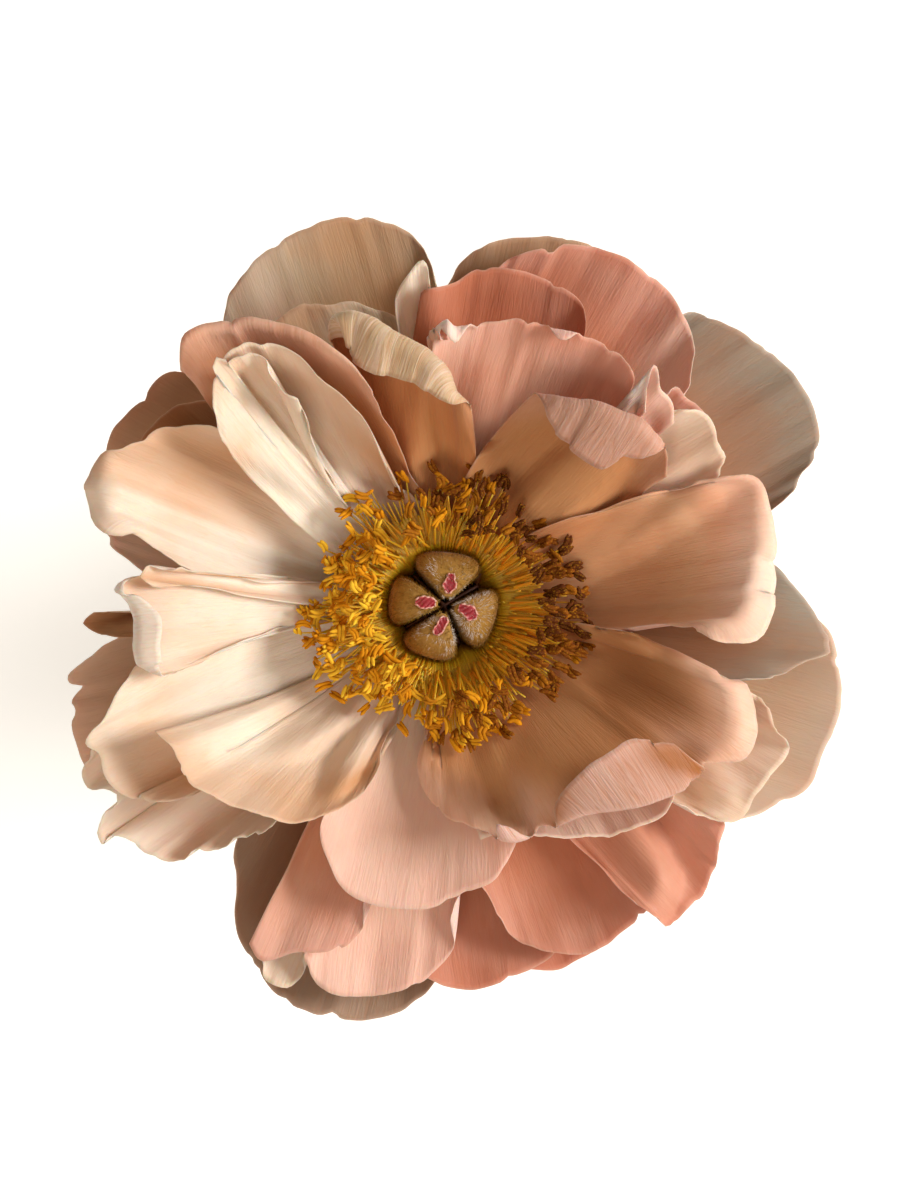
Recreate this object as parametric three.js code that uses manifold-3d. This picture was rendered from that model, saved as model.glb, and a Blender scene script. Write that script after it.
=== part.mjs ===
// A cut peony in a bud vase: a wide-open semi-double bloom on its leafy stem, standing in a narrow-necked vase
// with water. Millimetres, +Z up. The origin is the middle of the vase's foot, on the surface it stands on.
import * as THREE from "three";
import { mergeVertices } from "three/addons/utils/BufferGeometryUtils.js";
import Module from "manifold-3d";

const wasm = await Module();
wasm.setup();

// ---------------------------------------------------------------- driving dimensions

const GAP = 0.3; // clearance between two pieces that rest on each other
const VASE = { wall: 3, floor: 6, sides: 30, curvePoints: 11 };
const VASE_OUTSIDE = [
  // radius and height up the outside, from the foot to the lip
  [25, 1.2], [31, 14], [36, 38], [32.5, 62], [22, 85], [14.6, 105], [12.4, 124], [13.2, 140], [15.6, 150],
];
const WATER_LEVEL = 96;
const STEM_RADIUS = 3.2;
const STEM_SIDES = 8;
const STEM_ROUTE = [
  // from the cut end on the vase's floor, past the side of the neck, up to the bloom
  [12, -2, 6.7], [7, -1, 48], [0.6, 0, 98], [-5.6, 0.3, 132], [-8.8, 0.3, 162], [-10, 0, 188], [-10, 0, 200],
];
const BLOOM = [-10, 0, 212]; // middle of the receptacle's flat top
const PETAL = { thickness: 0.75, rows: 3, column: 15, fewest: 3, most: 6, waist: 24, bulge: 22 };
const WHORLS = {
  // where each whorl of petals is rooted on the collar, and the slope of its petals at root and rim, in degrees
  inner: { radius: 9.4, height: -1.8, rise: 8, flare: 58 },
  second: { radius: 9.0, height: -3.6, rise: 8, flare: 30 },
  third: { radius: 8.6, height: -5.4, rise: 4, flare: 6 },
  guard: { radius: 8.0, height: -7.4, rise: 0, flare: -25 },
};
const STAMEN = { count: 64, thread: 0.4, anther: 1.0, antherLength: 4, sides: 3 };
const CARPEL = { height: 16, offset: 5.8, sides: 8 };
const CARPEL_BELLY = [1.8, 4.4, 5.9, 6.1, 5.0, 2.4]; // radius at even steps up a carpel
const SEED = 11;

// ---------------------------------------------------------------- solids

// A closed triangle mesh as a solid.
function solidOf(geometry) {
  const bare = new THREE.BufferGeometry();
  bare.setAttribute("position", geometry.getAttribute("position"));
  bare.setIndex(geometry.index);
  const merged = mergeVertices(bare, 1e-4);
  return new wasm.Manifold(
    new wasm.Mesh({
      numProp: 3,
      vertProperties: merged.attributes.position.array,
      triVerts: new Uint32Array(merged.index.array),
    }),
  );
}

function geometryOf(solid) {
  const { vertProperties, triVerts } = solid.getMesh();
  const geometry = new THREE.BufferGeometry();
  geometry.setAttribute("position", new THREE.BufferAttribute(new Float32Array(vertProperties), 3));
  geometry.setIndex(new THREE.BufferAttribute(new Uint32Array(triVerts), 1));
  const flat = geometry.toNonIndexed();
  flat.computeVertexNormals();
  return flat;
}

// Joins solids into one body. A hollow sealed by the joining is filled and a loose scrap is dropped.
function fuse(solids) {
  const bodies = solids.reduce((sum, solid) => sum.add(solid)).decompose();
  return bodies.reduce((best, body) => (body.volume() > best.volume() ? body : best));
}

// A thin blade of even thickness about a grid of points, split into triangles alike on both faces.
function blade(rows, thickness) {
  const high = rows.length;
  const wide = rows[0].length;
  const at = (i, j) => rows[THREE.MathUtils.clamp(i, 0, high - 1)][THREE.MathUtils.clamp(j, 0, wide - 1)];
  const upper = [];
  const lower = [];
  rows.forEach((row, i) =>
    row.forEach((point, j) => {
      const across = at(i, j + 1).clone().sub(at(i, j - 1));
      const along = at(i + 1, j).clone().sub(at(i - 1, j));
      const half = across.cross(along).setLength(thickness / 2);
      upper.push(point.clone().add(half));
      lower.push(point.clone().sub(half));
    }),
  );
  const index = [];
  const base = upper.length;
  const id = (i, j) => i * wide + j;
  for (let i = 0; i < high - 1; i++) {
    for (let j = 0; j < wide - 1; j++) {
      const [a, b, c, d] = [id(i, j), id(i, j + 1), id(i + 1, j + 1), id(i + 1, j)];
      index.push(a, b, c, a, c, d);
      index.push(base + a, base + c, base + b, base + a, base + d, base + c);
    }
  }
  const border = [];
  for (let j = 0; j < wide - 1; j++) border.push(id(0, j));
  for (let i = 0; i < high - 1; i++) border.push(id(i, wide - 1));
  for (let j = wide - 1; j > 0; j--) border.push(id(high - 1, j));
  for (let i = high - 1; i > 0; i--) border.push(id(i, 0));
  border.forEach((a, k) => {
    const b = border[(k + 1) % border.length];
    index.push(b, a, base + a, b, base + a, base + b);
  });
  const geometry = new THREE.BufferGeometry().setFromPoints([...upper, ...lower]);
  geometry.setIndex(index);
  return solidOf(geometry);
}

// A closed tube through points, with its own radius at each of them.
function rod(points, radii, sides) {
  const vertices = [];
  const index = [];
  points.forEach((point, i) => {
    const before = points[Math.max(i - 1, 0)];
    const after = points[Math.min(i + 1, points.length - 1)];
    const turn = new THREE.Quaternion().setFromUnitVectors(UP, after.clone().sub(before).normalize());
    for (let k = 0; k < sides; k++) {
      const angle = (2 * Math.PI * k) / sides;
      const spoke = new THREE.Vector3(Math.cos(angle), Math.sin(angle), 0).multiplyScalar(radii[i]);
      vertices.push(spoke.applyQuaternion(turn).add(point));
    }
  });
  for (let i = 0; i < points.length - 1; i++) {
    for (let k = 0; k < sides; k++) {
      const [a, b] = [i * sides + k, i * sides + ((k + 1) % sides)];
      index.push(a, b, b + sides, a, b + sides, a + sides);
    }
  }
  const last = (points.length - 1) * sides;
  for (let k = 1; k < sides - 1; k++) {
    index.push(0, k + 1, k, last, last + k, last + k + 1);
  }
  const geometry = new THREE.BufferGeometry().setFromPoints(vertices);
  geometry.setIndex(index);
  return solidOf(geometry);
}

const UP = new THREE.Vector3(0, 0, 1);

// A solid of revolution about +Z from [radius, height] pairs.
function turned(profile, sides) {
  const points = profile.map(([radius, height]) => new THREE.Vector2(radius, height));
  return solidOf(new THREE.LatheGeometry(points, sides).rotateX(Math.PI / 2));
}

function meshOf(name, solid, colour, roughness) {
  const material = new THREE.MeshStandardMaterial({ color: colour, roughness, metalness: 0, flatShading: true });
  const mesh = new THREE.Mesh(geometryOf(solid), material);
  mesh.name = name;
  return mesh;
}

// Repeatable random numbers from 0 to 1.
function randomFrom(seed) {
  let state = seed;
  return () => {
    state = (state * 48271) % 2147483647;
    return state / 2147483647;
  };
}

const radians = THREE.MathUtils.degToRad;

// A point or direction from a radius, an azimuth in degrees and a height.
function polar(radius, azimuth, height) {
  return new THREE.Vector3(radius * Math.cos(radians(azimuth)), radius * Math.sin(radians(azimuth)), height);
}

// ---------------------------------------------------------------- vase and water

// The outside curve of the vase, moved inwards by an inset.
function vaseCurve(inset, from, to) {
  const curve = new THREE.SplineCurve(VASE_OUTSIDE.map(([radius, height]) => new THREE.Vector2(radius, height)));
  const points = curve.getPoints(VASE.curvePoints).filter((point) => point.y >= from && point.y <= to);
  return points.map((point) => [point.x - inset, point.y]);
}

function vase() {
  const [lipRadius, height] = VASE_OUTSIDE[VASE_OUTSIDE.length - 1];
  const outside = vaseCurve(0, 0, height);
  const inside = vaseCurve(VASE.wall, VASE.floor + 2, height - 1).reverse();
  const lip = [[lipRadius - VASE.wall * 0.5, height + 0.8], [lipRadius - VASE.wall, height]];
  const floor = [[inside[inside.length - 1][0] - 3, VASE.floor], [0, VASE.floor]];
  return turned([[0, 0], [VASE_OUTSIDE[0][0] - 1.2, 0], ...outside, ...lip, ...inside, ...floor], VASE.sides);
}

function water(stemHole) {
  const side = vaseCurve(VASE.wall + GAP, VASE.floor + 2, WATER_LEVEL);
  const bottom = VASE.floor + GAP;
  const body = turned([[0, bottom], [side[0][0] - 3, bottom], ...side, [0, side[side.length - 1][1]]], VASE.sides);
  return body.subtract(stemHole);
}

// ---------------------------------------------------------------- stem, leaves and sepals

const stemRoute = new THREE.CatmullRomCurve3(STEM_ROUTE.map((point) => new THREE.Vector3(...point)));

function stemTube(radius, steps) {
  const section = new THREE.Shape().absarc(0, 0, radius, 0, 2 * Math.PI);
  const options = { extrudePath: stemRoute, steps, curveSegments: STEM_SIDES / 2 };
  return solidOf(new THREE.ExtrudeGeometry(section, options));
}

// Clear space round and under the stem's cut end.
function cutEndClearance() {
  const end = stemRoute.getPointAt(0);
  const up = stemRoute.getTangentAt(0);
  const ends = [end.clone().addScaledVector(up, -3), end.clone().addScaledVector(up, 2)];
  const radius = (STEM_RADIUS + GAP) * 1.05;
  return rod(ends, [radius, radius], STEM_SIDES);
}

// The swollen end of the stem, which carries the sepals, petals, stamens and carpels.
const RECEPTACLE = [
  [0, -14], [3.4, -14], [4.6, -11.5], [5.2, -9.4], [6.0, -5], [6.3, -0.5], [5.8, 0], [0, 0],
];

function stem() {
  const end = turned(RECEPTACLE, 16).translate(BLOOM);
  return fuse([stemTube(STEM_RADIUS, 16), end]);
}

// One leaflet: pointed at both ends, folded along its midrib, arched down, with a waved edge.
function leaflet({ length, width, fold, arch, wave, steps = 7 }) {
  const rows = [];
  for (let i = 0; i <= steps; i++) {
    const along = i / steps;
    const half = Math.max((width / 2) * Math.sin(Math.PI * along ** 0.85) ** 0.8, 0.9);
    const row = [];
    for (let j = -2; j <= 2; j++) {
      const side = j / 2;
      const lift = Math.abs(side) * half * fold + wave * side ** 2 * Math.sin(along * 11 + side * 2);
      row.push(new THREE.Vector3(length * along, -half * side, lift - arch * along ** 2));
    }
    rows.push(row);
  }
  return blade(rows, 0.8);
}

// A compound leaf on its stalk, with three leaflets, leaving the stem at a height towards an azimuth.
function leaf({ height, azimuth, stalk, rise, leaflets }, stemHole) {
  const share = stemRoute.getSpacedPoints(200).findIndex((point) => point.z >= height) / 200;
  const start = stemRoute.getPointAt(share);
  const out = polar(Math.cos(radians(rise)), azimuth, Math.sin(radians(rise)));
  const end = start.clone().addScaledVector(out, stalk);
  const knee = start.clone().lerp(end, 0.5).addScaledVector(UP, 1.5);
  const parts = [rod([start, knee, end], [1.5, 1.2, 1.1], 6)];
  for (const { turn, pitch, twist, from, ...size } of leaflets) {
    const foot = end.clone().addScaledVector(out, from);
    const place = new THREE.Matrix4().makeRotationZ(radians(azimuth + turn));
    place.multiply(new THREE.Matrix4().makeRotationY(-radians(pitch)));
    place.multiply(new THREE.Matrix4().makeRotationX(radians(twist)));
    place.setPosition(foot);
    parts.push(leaflet(size).transform(place.elements));
  }
  return fuse(parts).subtract(stemHole);
}

const LEAVES = [
  {
    name: "leaf_west", height: 166, azimuth: 205, stalk: 20, rise: 42,
    leaflets: [
      { turn: 0, pitch: 8, twist: 8, from: -2, length: 50, width: 21, fold: 0.35, arch: 15, wave: 0.9 },
      { turn: 58, pitch: 4, twist: -8, from: -4, length: 44, width: 18, fold: 0.35, arch: 13, wave: 0.8 },
      { turn: -60, pitch: 6, twist: 14, from: -4, length: 42, width: 17, fold: 0.35, arch: 12, wave: 0.8 },
    ],
  },
  {
    name: "leaf_east", height: 179, azimuth: 20, stalk: 17, rise: 24,
    leaflets: [
      { turn: 0, pitch: 2, twist: -6, from: -2, length: 48, width: 19, fold: 0.35, arch: 16, wave: 0.9 },
      { turn: 55, pitch: -2, twist: -10, from: -4, length: 38, width: 16, fold: 0.35, arch: 12, wave: 0.7 },
      { turn: -57, pitch: -2, twist: 10, from: -4, length: 40, width: 16, fold: 0.35, arch: 13, wave: 0.7 },
    ],
  },
];

// Green sepals under the petals: three broad round ones and two long leafy ones, turned back and down.
function sepals() {
  const collar = turned([[5.2, -12.4], [8.2, -12.4], [8.4, -9.9], [5.8, -9.9]].concat([[5.2, -12.4]]), 20);
  const parts = [collar];
  for (let k = 0; k < 5; k++) {
    const leafy = k % 2 === 1;
    const size = leafy
      ? { length: 32, width: 11, fold: 0.3, arch: 12, wave: 0.4, steps: 5 }
      : { length: 21, width: 19, fold: 0.12, arch: 6, wave: 0.5, steps: 5 };
    const place = new THREE.Matrix4().makeRotationZ(radians(72 * k + 30));
    place.multiply(new THREE.Matrix4().makeTranslation(6.6, 0, -11.3));
    place.multiply(new THREE.Matrix4().makeRotationY(radians(12)));
    parts.push(leaflet(size).transform(place.elements));
  }
  return fuse(parts).translate(BLOOM);
}

// ---------------------------------------------------------------- petals

// Each petal by its rim, clockwise as seen from above: points from the middle of the receptacle's top.
// lip is [start, end, width, turn]: the stretch of the rim that rolls on inwards, how far, and through what angle.
const PETALS = [
  { whorl: "guard", rim: [[-49, 62, 0], [-48, 69, 2], [-36, 82, 3], [-15, 87, -1], [-2, 77, -3], [0, 71, -2]] },
  { whorl: "guard", rim: [[0, 70, -2], [5, 77, 0], [17, 83, -1], [34, 81, -3], [40, 77, -4]] },
  { whorl: "guard", rim: [[53, 63, 4], [63, 64, 3], [81, 50, 0], [85, 42, -2], [84, 33, -4], [74, 21, -4]] },
  { whorl: "guard", rim: [[81, 1, 4], [87, -5, 4], [90, -22, 1], [87, -32, -1], [74, -46, -4], [68, -47, -2]] },
  { whorl: "guard", rim: [[40, -73, -4], [33, -79, -5], [24, -82, -5], [14, -77, -3]] },
  { whorl: "guard", rim: [[2, -81, -3], [-11, -92, -4], [-33, -90, -2], [-46, -72, 1], [-45, -53, 3], [-40, -48, 4]] },
  { whorl: "guard", rim: [[-76, -41, 0], [-83, -27, 1], [-80, -18, 1], [-84, -16, 3], [-71, -6, 5]] },
  { whorl: "guard", rim: [[-72, -7, 4], [-80, -4, 3], [-78, -2, 4], [-72, -1, 5]], waist: 8, bulge: 0 },
  { whorl: "guard", rim: [[-63, 6, 4], [-75, 15, 2], [-76, 32, 1], [-68, 46, 3], [-56, 53, 2], [-49, 51, 2]] },
  { whorl: "third", rim: [[14, 74, 7], [24, 81, 8], [41, 79, 6], [54, 67, 5], [57, 53, 8], [54, 47, 10]] },
  { whorl: "third", rim: [[74, 10, 13], [82, 2, 12], [88, -10, 13], [75, -16, 15], [69, -17, 16]] },
  { whorl: "third", rim: [[65, -44, 14], [63, -56, 10], [56, -69, 7], [48, -69, 9], [43, -66, 12]] },
  { whorl: "third", rim: [[48, -59, 12], [47, -68, 10], [33, -78, 7], [18, -75, 6], [9, -63, 9], [9, -58, 11]] },
  { whorl: "third", rim: [[29, -74, 3], [17, -83, 2], [2, -86, 2], [-6, -79, 4]] },
  { whorl: "third", rim: [[5, -63, 8], [2, -78, 6], [-11, -87, 5], [-27, -86, 6], [-30, -75, 8]] },
  { whorl: "third", rim: [[-17, -67, 12], [-19, -75, 11], [-32, -78, 9], [-43, -76, 9]], bulge: 6 },
  { whorl: "second", rim: [[-43, 60, 16], [-30, 68, 19], [-17, 68, 18], [-10, 65, 17]] },
  { whorl: "second", rim: [[-10, 68, 21], [-4, 77, 26], [3, 72, 21], [18, 76, 19], [33, 66, 19], [33, 62, 20]] },
  { whorl: "second", rim: [[72, -21, 20], [78, -31, 18], [72, -42, 17], [63, -49, 16], [54, -44, 18]] },
  { whorl: "second", rim: [[-38, -49, 18], [-53, -54, 13], [-70, -53, 14], [-77, -50, 15], [-80, -36, 16], [-78, -31, 18]] },
  { whorl: "second", rim: [[-68, 35, 20], [-62, 43, 22], [-51, 47, 24], [-44, 46, 24]] },
  { whorl: "inner", rim: [[18, -50, 18], [12, -62, 18], [-3, -68, 16], [-20, -65, 17], [-27, -50, 20], [-22, -41, 20]] },
  { whorl: "inner", rim: [[53, -41, 27], [45, -50, 26], [26, -52, 25], [9, -52, 25]] },
  {
    whorl: "inner", lip: [0.02, 0.5, 11, 105],
    rim: [[60, -36, 30], [51, -42, 35], [37, -45, 34], [22, -50, 29], [7, -50, 27], [-4, -41, 20], [-5, -36, 16]],
  },
  { whorl: "inner", rim: [[64, -14, 26], [69, -16, 28], [72, -25, 30], [67, -35, 30], [60, -36, 27]] },
  { whorl: "inner", rim: [[58, 29, 26], [73, 29, 28], [75, 16, 28], [75, 2, 31], [69, -8, 34], [56, -6, 28]] },
  { whorl: "inner", rim: [[45, 51, 37], [47, 54, 40], [52, 44, 34], [61, 40, 32], [61, 30, 28]] },
  { whorl: "inner", rim: [[21, 48, 30], [34, 47, 36], [45, 43, 37], [50, 40, 34]], lip: [0, 1, 10, 105] },
  { whorl: "inner", rim: [[0, 50, 27], [-3, 62, 30], [8, 63, 30], [20, 65, 31], [34, 60, 30], [44, 52, 32], [42, 47, 31]] },
  {
    whorl: "inner", lip: [0.35, 0.98, 9, 105],
    rim: [[-25, 59, 31], [-20, 66, 33], [-9, 61, 35], [1, 54, 36], [7, 45, 30]],
  },
  { whorl: "inner", rim: [[-57, 52, 28], [-51, 61, 32], [-35, 61, 34], [-21, 54, 36], [-15, 48, 33]] },
  { whorl: "inner", rim: [[-49, 37, 32], [-50, 55, 39], [-39, 59, 40], [-30, 51, 38], [-18, 41, 27], [-12, 32, 16]] },
  { whorl: "inner", rim: [[-59, 9, 26], [-70, 18, 30], [-78, 25, 31], [-67, 38, 33], [-53, 40, 34], [-48, 39, 33]] },
  { whorl: "inner", rim: [[-65, 5, 34], [-68, 7, 36], [-62, 9, 37], [-54, 9, 34]], waist: 14 },
  { whorl: "inner", rim: [[-57, -14, 29], [-70, -11, 35], [-71, -1, 36], [-75, 5, 35], [-68, 7, 34]] },
  { whorl: "inner", rim: [[-52, -41, 22], [-69, -42, 27], [-80, -31, 30], [-77, -25, 30], [-68, -14, 29]] },
  {
    whorl: "inner",
    bulge: 6,
    rim: [[-14, -36, 18], [-21, -45, 24], [-39, -48, 29], [-57, -38, 34], [-64, -28, 37]],
  },
];
const LIP_ROLL = 3; // radius of the roll where a rim turns over

// The middle surface of a petal as rows of points from its root to its rim.
function petalRows({ whorl, rim, lip, waist = PETAL.waist, bulge = PETAL.bulge }) {
  const { radius, height, rise, flare } = WHORLS[whorl];
  const rimCurve = new THREE.CatmullRomCurve3(rim.map((point) => new THREE.Vector3(...point)));
  const columns = THREE.MathUtils.clamp(
    Math.round(rimCurve.getLength() / PETAL.column), PETAL.fewest, PETAL.most,
  );
  const edge = rimCurve.getSpacedPoints(columns);
  const middle = edge.reduce((sum, point) => sum.add(point), new THREE.Vector3());
  const azimuth = THREE.MathUtils.radToDeg(Math.atan2(middle.y, middle.x));
  const rows = PETAL.rows + (lip ? 2 : 0);
  const grid = Array.from({ length: rows + 1 }, () => []);
  edge.forEach((end, j) => {
    const side = 1 - (2 * j) / columns;
    const root = polar(radius, azimuth + waist * side, height);
    const reach = end.clone().sub(root);
    const heading = THREE.MathUtils.radToDeg(Math.atan2(reach.y, reach.x));
    const pull = reach.length() / 3;
    const leave = polar(Math.cos(radians(rise)), heading + bulge * side, Math.sin(radians(rise)));
    const arrive = polar(Math.cos(radians(flare)), heading - bulge * 0.6 * side, Math.sin(radians(flare)));
    const rib = new THREE.CubicBezierCurve3(
      root,
      root.clone().addScaledVector(leave, pull),
      end.clone().addScaledVector(arrive, -pull),
      end,
    );
    const width = lip ? lipWidth(lip, j / columns) : 0;
    const tangent = edge[Math.min(j + 1, columns)].clone().sub(edge[Math.max(j - 1, 0)]);
    const inward = tangent.cross(arrive).normalize();
    for (let i = 0; i <= rows; i++) {
      const along = (i / rows) * (1 + width / reach.length());
      const point = rib.getPoint(Math.min(along, 1));
      const past = Math.max(along - 1, 0) * reach.length();
      grid[i].push(point.add(rolled(past, arrive, inward, lip)));
    }
  });
  return grid;
}

function lipWidth([start, end, width], share) {
  const within = THREE.MathUtils.clamp((share - start) / (end - start), 0, 1);
  return width * Math.sin(Math.PI * within);
}

// How far a point that lies a distance past the rim has moved, as the lip rolls over and then runs straight.
function rolled(distance, outward, inward, lip) {
  if (!lip || distance === 0) return new THREE.Vector3();
  const turn = radians(lip[3]);
  const angle = Math.min(distance / LIP_ROLL, turn);
  const straight = Math.max(distance - LIP_ROLL * turn, 0);
  return new THREE.Vector3()
    .addScaledVector(outward, LIP_ROLL * Math.sin(angle) + straight * Math.cos(turn))
    .addScaledVector(inward, LIP_ROLL * (1 - Math.cos(angle)) + straight * Math.sin(turn));
}

// The collar that the petals' claws grow together into, round the receptacle.
const COLLAR = [[6.7, -0.6], [6.4, -5], [5.7, -9.2], [7.6, -9.4], [9.6, -5], [10.4, -2.4], [10.2, -0.6], [6.7, -0.6]];

function petals() {
  const blades = PETALS.map((petal) => blade(petalRows(petal), PETAL.thickness));
  return fuse([turned(COLLAR, 24), ...blades]).translate(BLOOM);
}

// ---------------------------------------------------------------- stamens and carpels

// Threads with their anthers, spread round the carpels by the golden angle. One that would meet a petal or a carpel
// is left out.
function stamens(neighbours) {
  const random = randomFrom(SEED);
  const ring = turned([[8.1, -0.2], [10.9, -0.2], [10.6, 1.3], [8.5, 1.3], [8.1, -0.2]], 24);
  const parts = [ring.translate(BLOOM)];
  const bloom = new THREE.Vector3(...BLOOM);
  for (let k = 0; k < STAMEN.count; k++) {
    const share = (k * 0.61803) % 1;
    const azimuth = k * 137.508 + 5 * random();
    const root = polar(9.2 + 1.1 * share, azimuth, 0.2);
    const tip = polar(15.5 + 17 * share + 2 * random(), azimuth + 8 * (random() - 0.5), 23 - 9 * share + 2 * random());
    const thread = new THREE.CubicBezierCurve3(
      root,
      polar(12.8 + 2 * share, azimuth, 4.5),
      polar(15 + 9 * share, azimuth, 12 - 2 * share),
      tip,
    );
    const points = thread.getPoints(2);
    const lean = polar(Math.cos(radians(20)), azimuth + 100 * (random() - 0.5), Math.sin(radians(20)));
    points.push(tip.clone().addScaledVector(lean, STAMEN.antherLength * 0.35));
    points.push(tip.clone().addScaledVector(lean, STAMEN.antherLength));
    const { thread: thin, anther } = STAMEN;
    const stamen = rod(points, [thin, thin, thin, anther, anther * 0.5], STAMEN.sides).translate(BLOOM);
    if (stamen.intersect(neighbours).isEmpty()) parts.push(stamen);
  }
  return fuse(parts);
}

// One carpel: a round-bellied flask that leans in to the others, with a flat side towards them and a curled tip.
function carpel(azimuth) {
  const { height, offset, sides } = CARPEL;
  const rings = CARPEL_BELLY.map((_, i) => {
    const up = i / (CARPEL_BELLY.length - 1);
    return polar(offset - 2.2 * up ** 2, azimuth, 0.8 + (height - 0.8) * up);
  });
  const flask = rod(rings, CARPEL_BELLY, sides);
  const crest = polar(offset - 3.4, azimuth, height - 0.5);
  const back = polar(offset + 1.2, azimuth, height - 1.8);
  const stigma = rod([back, polar(offset - 1, azimuth, height + 0.6), crest], [1.2, 1.6, 1.1], 6);
  return flask.add(stigma);
}

// Four carpels in a cross on one low disc, kept apart by a narrow cross-shaped cleft.
function carpels() {
  const parts = [turned([[0, GAP], [6.2, GAP], [6.6, 1.4], [5, 2.2], [0, 2.2]], 16)];
  for (const azimuth of [78, 176, 262, -17]) {
    const wedge = new THREE.Shape([
      new THREE.Vector2(0.45, 0.02),
      new THREE.Vector2(16, 15.4),
      new THREE.Vector2(24, 0),
      new THREE.Vector2(16, -15.4),
      new THREE.Vector2(0.45, -0.02),
    ]);
    const quarter = solidOf(new THREE.ExtrudeGeometry(wedge, { depth: 30, bevelEnabled: false }));
    parts.push(carpel(azimuth).intersect(quarter.rotate([0, 0, azimuth])));
  }
  return fuse(parts).translate(BLOOM);
}

// ---------------------------------------------------------------- the whole thing

const stemHole = stemTube(STEM_RADIUS + GAP, 16).add(cutEndClearance());
const petalBody = petals();
const carpelBody = carpels();

const peony = new THREE.Group();
peony.add(meshOf("vase", vase(), "#e4ded2", 0.3));
peony.add(meshOf("water", water(stemHole), "#cfdcd8", 0.05));
peony.add(meshOf("stem", stem(), "#6f7f45", 0.55));
for (const plan of LEAVES) peony.add(meshOf(plan.name, leaf(plan, stemHole), "#3f5a30", 0.5));
peony.add(meshOf("sepals", sepals(), "#6d8048", 0.55));
peony.add(meshOf("petals", petalBody, "#e6b898", 0.6));
peony.add(meshOf("stamens", stamens(petalBody.add(carpelBody)), "#c98a1c", 0.6));
peony.add(meshOf("carpels", carpelBody, "#8f8455", 0.65));

export default peony;
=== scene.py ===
"""A cut peony in a bud vase: an open semi-double bloom, peach, cream and coral, seen from straight above.

Shapes are worked out in millimetres and turned to metres as they become meshes. The bloom has its own frame:
its origin is the middle of the receptacle's flat top, +Z up.
"""
import math
import random

import bpy
import numpy as np
from mathutils import Matrix, Vector


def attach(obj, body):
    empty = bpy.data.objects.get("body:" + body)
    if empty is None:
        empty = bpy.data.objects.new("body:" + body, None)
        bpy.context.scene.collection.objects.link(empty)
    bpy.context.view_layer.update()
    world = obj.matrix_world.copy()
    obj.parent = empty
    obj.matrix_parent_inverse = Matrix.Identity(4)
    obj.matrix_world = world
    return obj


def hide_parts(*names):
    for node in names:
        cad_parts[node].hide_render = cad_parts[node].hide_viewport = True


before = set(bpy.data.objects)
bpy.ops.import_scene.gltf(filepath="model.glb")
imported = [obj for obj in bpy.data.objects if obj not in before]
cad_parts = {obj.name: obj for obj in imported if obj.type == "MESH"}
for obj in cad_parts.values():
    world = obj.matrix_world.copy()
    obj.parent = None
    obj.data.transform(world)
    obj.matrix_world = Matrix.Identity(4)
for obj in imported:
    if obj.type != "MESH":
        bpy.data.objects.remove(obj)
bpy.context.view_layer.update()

MM = 0.001
BLOOM = Vector((-10.0, 0.0, 212.0))  # middle of the receptacle's top, in the vase's frame

# ---------------------------------------------------------------- camera, light and floor

PHOTO_WIDTH, PHOTO_HEIGHT = 900, 1200  # pixels
MM_PER_PIXEL = 0.225  # at the height of the stamens
CENTRE_PIXEL = (440, 606)  # where the receptacle's middle lies in the photograph
CAMERA_HEIGHT = 1500.0  # above the stamens
STAMEN_HEIGHT = 15.0  # above the receptacle
SENSOR = 36.0
KEY_LIGHT = dict(azimuth=8, elevation=32, distance=1300, size=520, watts=17.0, colour=(1.0, 0.985, 0.955))
FILL_LIGHT = dict(azimuth=262, elevation=50, distance=1500, size=900, watts=8.0, colour=(1.0, 0.92, 0.82))
SURROUNDINGS, SURROUNDINGS_STRENGTH = (1.0, 0.87, 0.7, 1.0), 0.27
FLOOR_HALF = 9.0  # metres


def camera():
    """Looks straight down the bloom's axis, with +Y at the top of the picture."""
    data = bpy.data.cameras.new("camera")
    data.sensor_width = SENSOR
    data.lens = SENSOR * CAMERA_HEIGHT / (PHOTO_HEIGHT * MM_PER_PIXEL)
    piece = bpy.data.objects.new("camera", data)
    bpy.context.scene.collection.objects.link(piece)
    across = (PHOTO_WIDTH / 2 - CENTRE_PIXEL[0]) * MM_PER_PIXEL
    up = -(PHOTO_HEIGHT / 2 - CENTRE_PIXEL[1]) * MM_PER_PIXEL
    piece.location = (BLOOM + Vector((across, up, STAMEN_HEIGHT + CAMERA_HEIGHT))) * MM
    bpy.context.scene.camera = piece


def lamp(name, azimuth, elevation, distance, size, watts, colour):
    """A square soft light that faces the bloom from an azimuth (0 is +X) and an elevation."""
    data = bpy.data.lights.new(name, "AREA")
    data.size = size * MM
    data.energy = watts
    data.color = colour
    piece = bpy.data.objects.new(name, data)
    bpy.context.scene.collection.objects.link(piece)
    a, e = math.radians(azimuth), math.radians(elevation)
    back = Vector((math.cos(a) * math.cos(e), math.sin(a) * math.cos(e), math.sin(e)))
    piece.location = (BLOOM + back * distance) * MM
    piece.rotation_euler = (-back).to_track_quat("-Z", "Y").to_euler()


def studio():
    """A soft light low on the right, a weaker, warmer one from the picture's foot, and pale surroundings."""
    lamp("key_light", **KEY_LIGHT)
    lamp("fill_light", **FILL_LIGHT)
    world = bpy.data.worlds.new("studio")
    world.use_nodes = True
    background = world.node_tree.nodes["Background"]
    background.inputs["Color"].default_value = SURROUNDINGS
    background.inputs["Strength"].default_value = SURROUNDINGS_STRENGTH
    bpy.context.scene.world = world
    bpy.context.scene.view_settings.view_transform = "Standard"
    bpy.context.scene.view_settings.look = "None"


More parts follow.
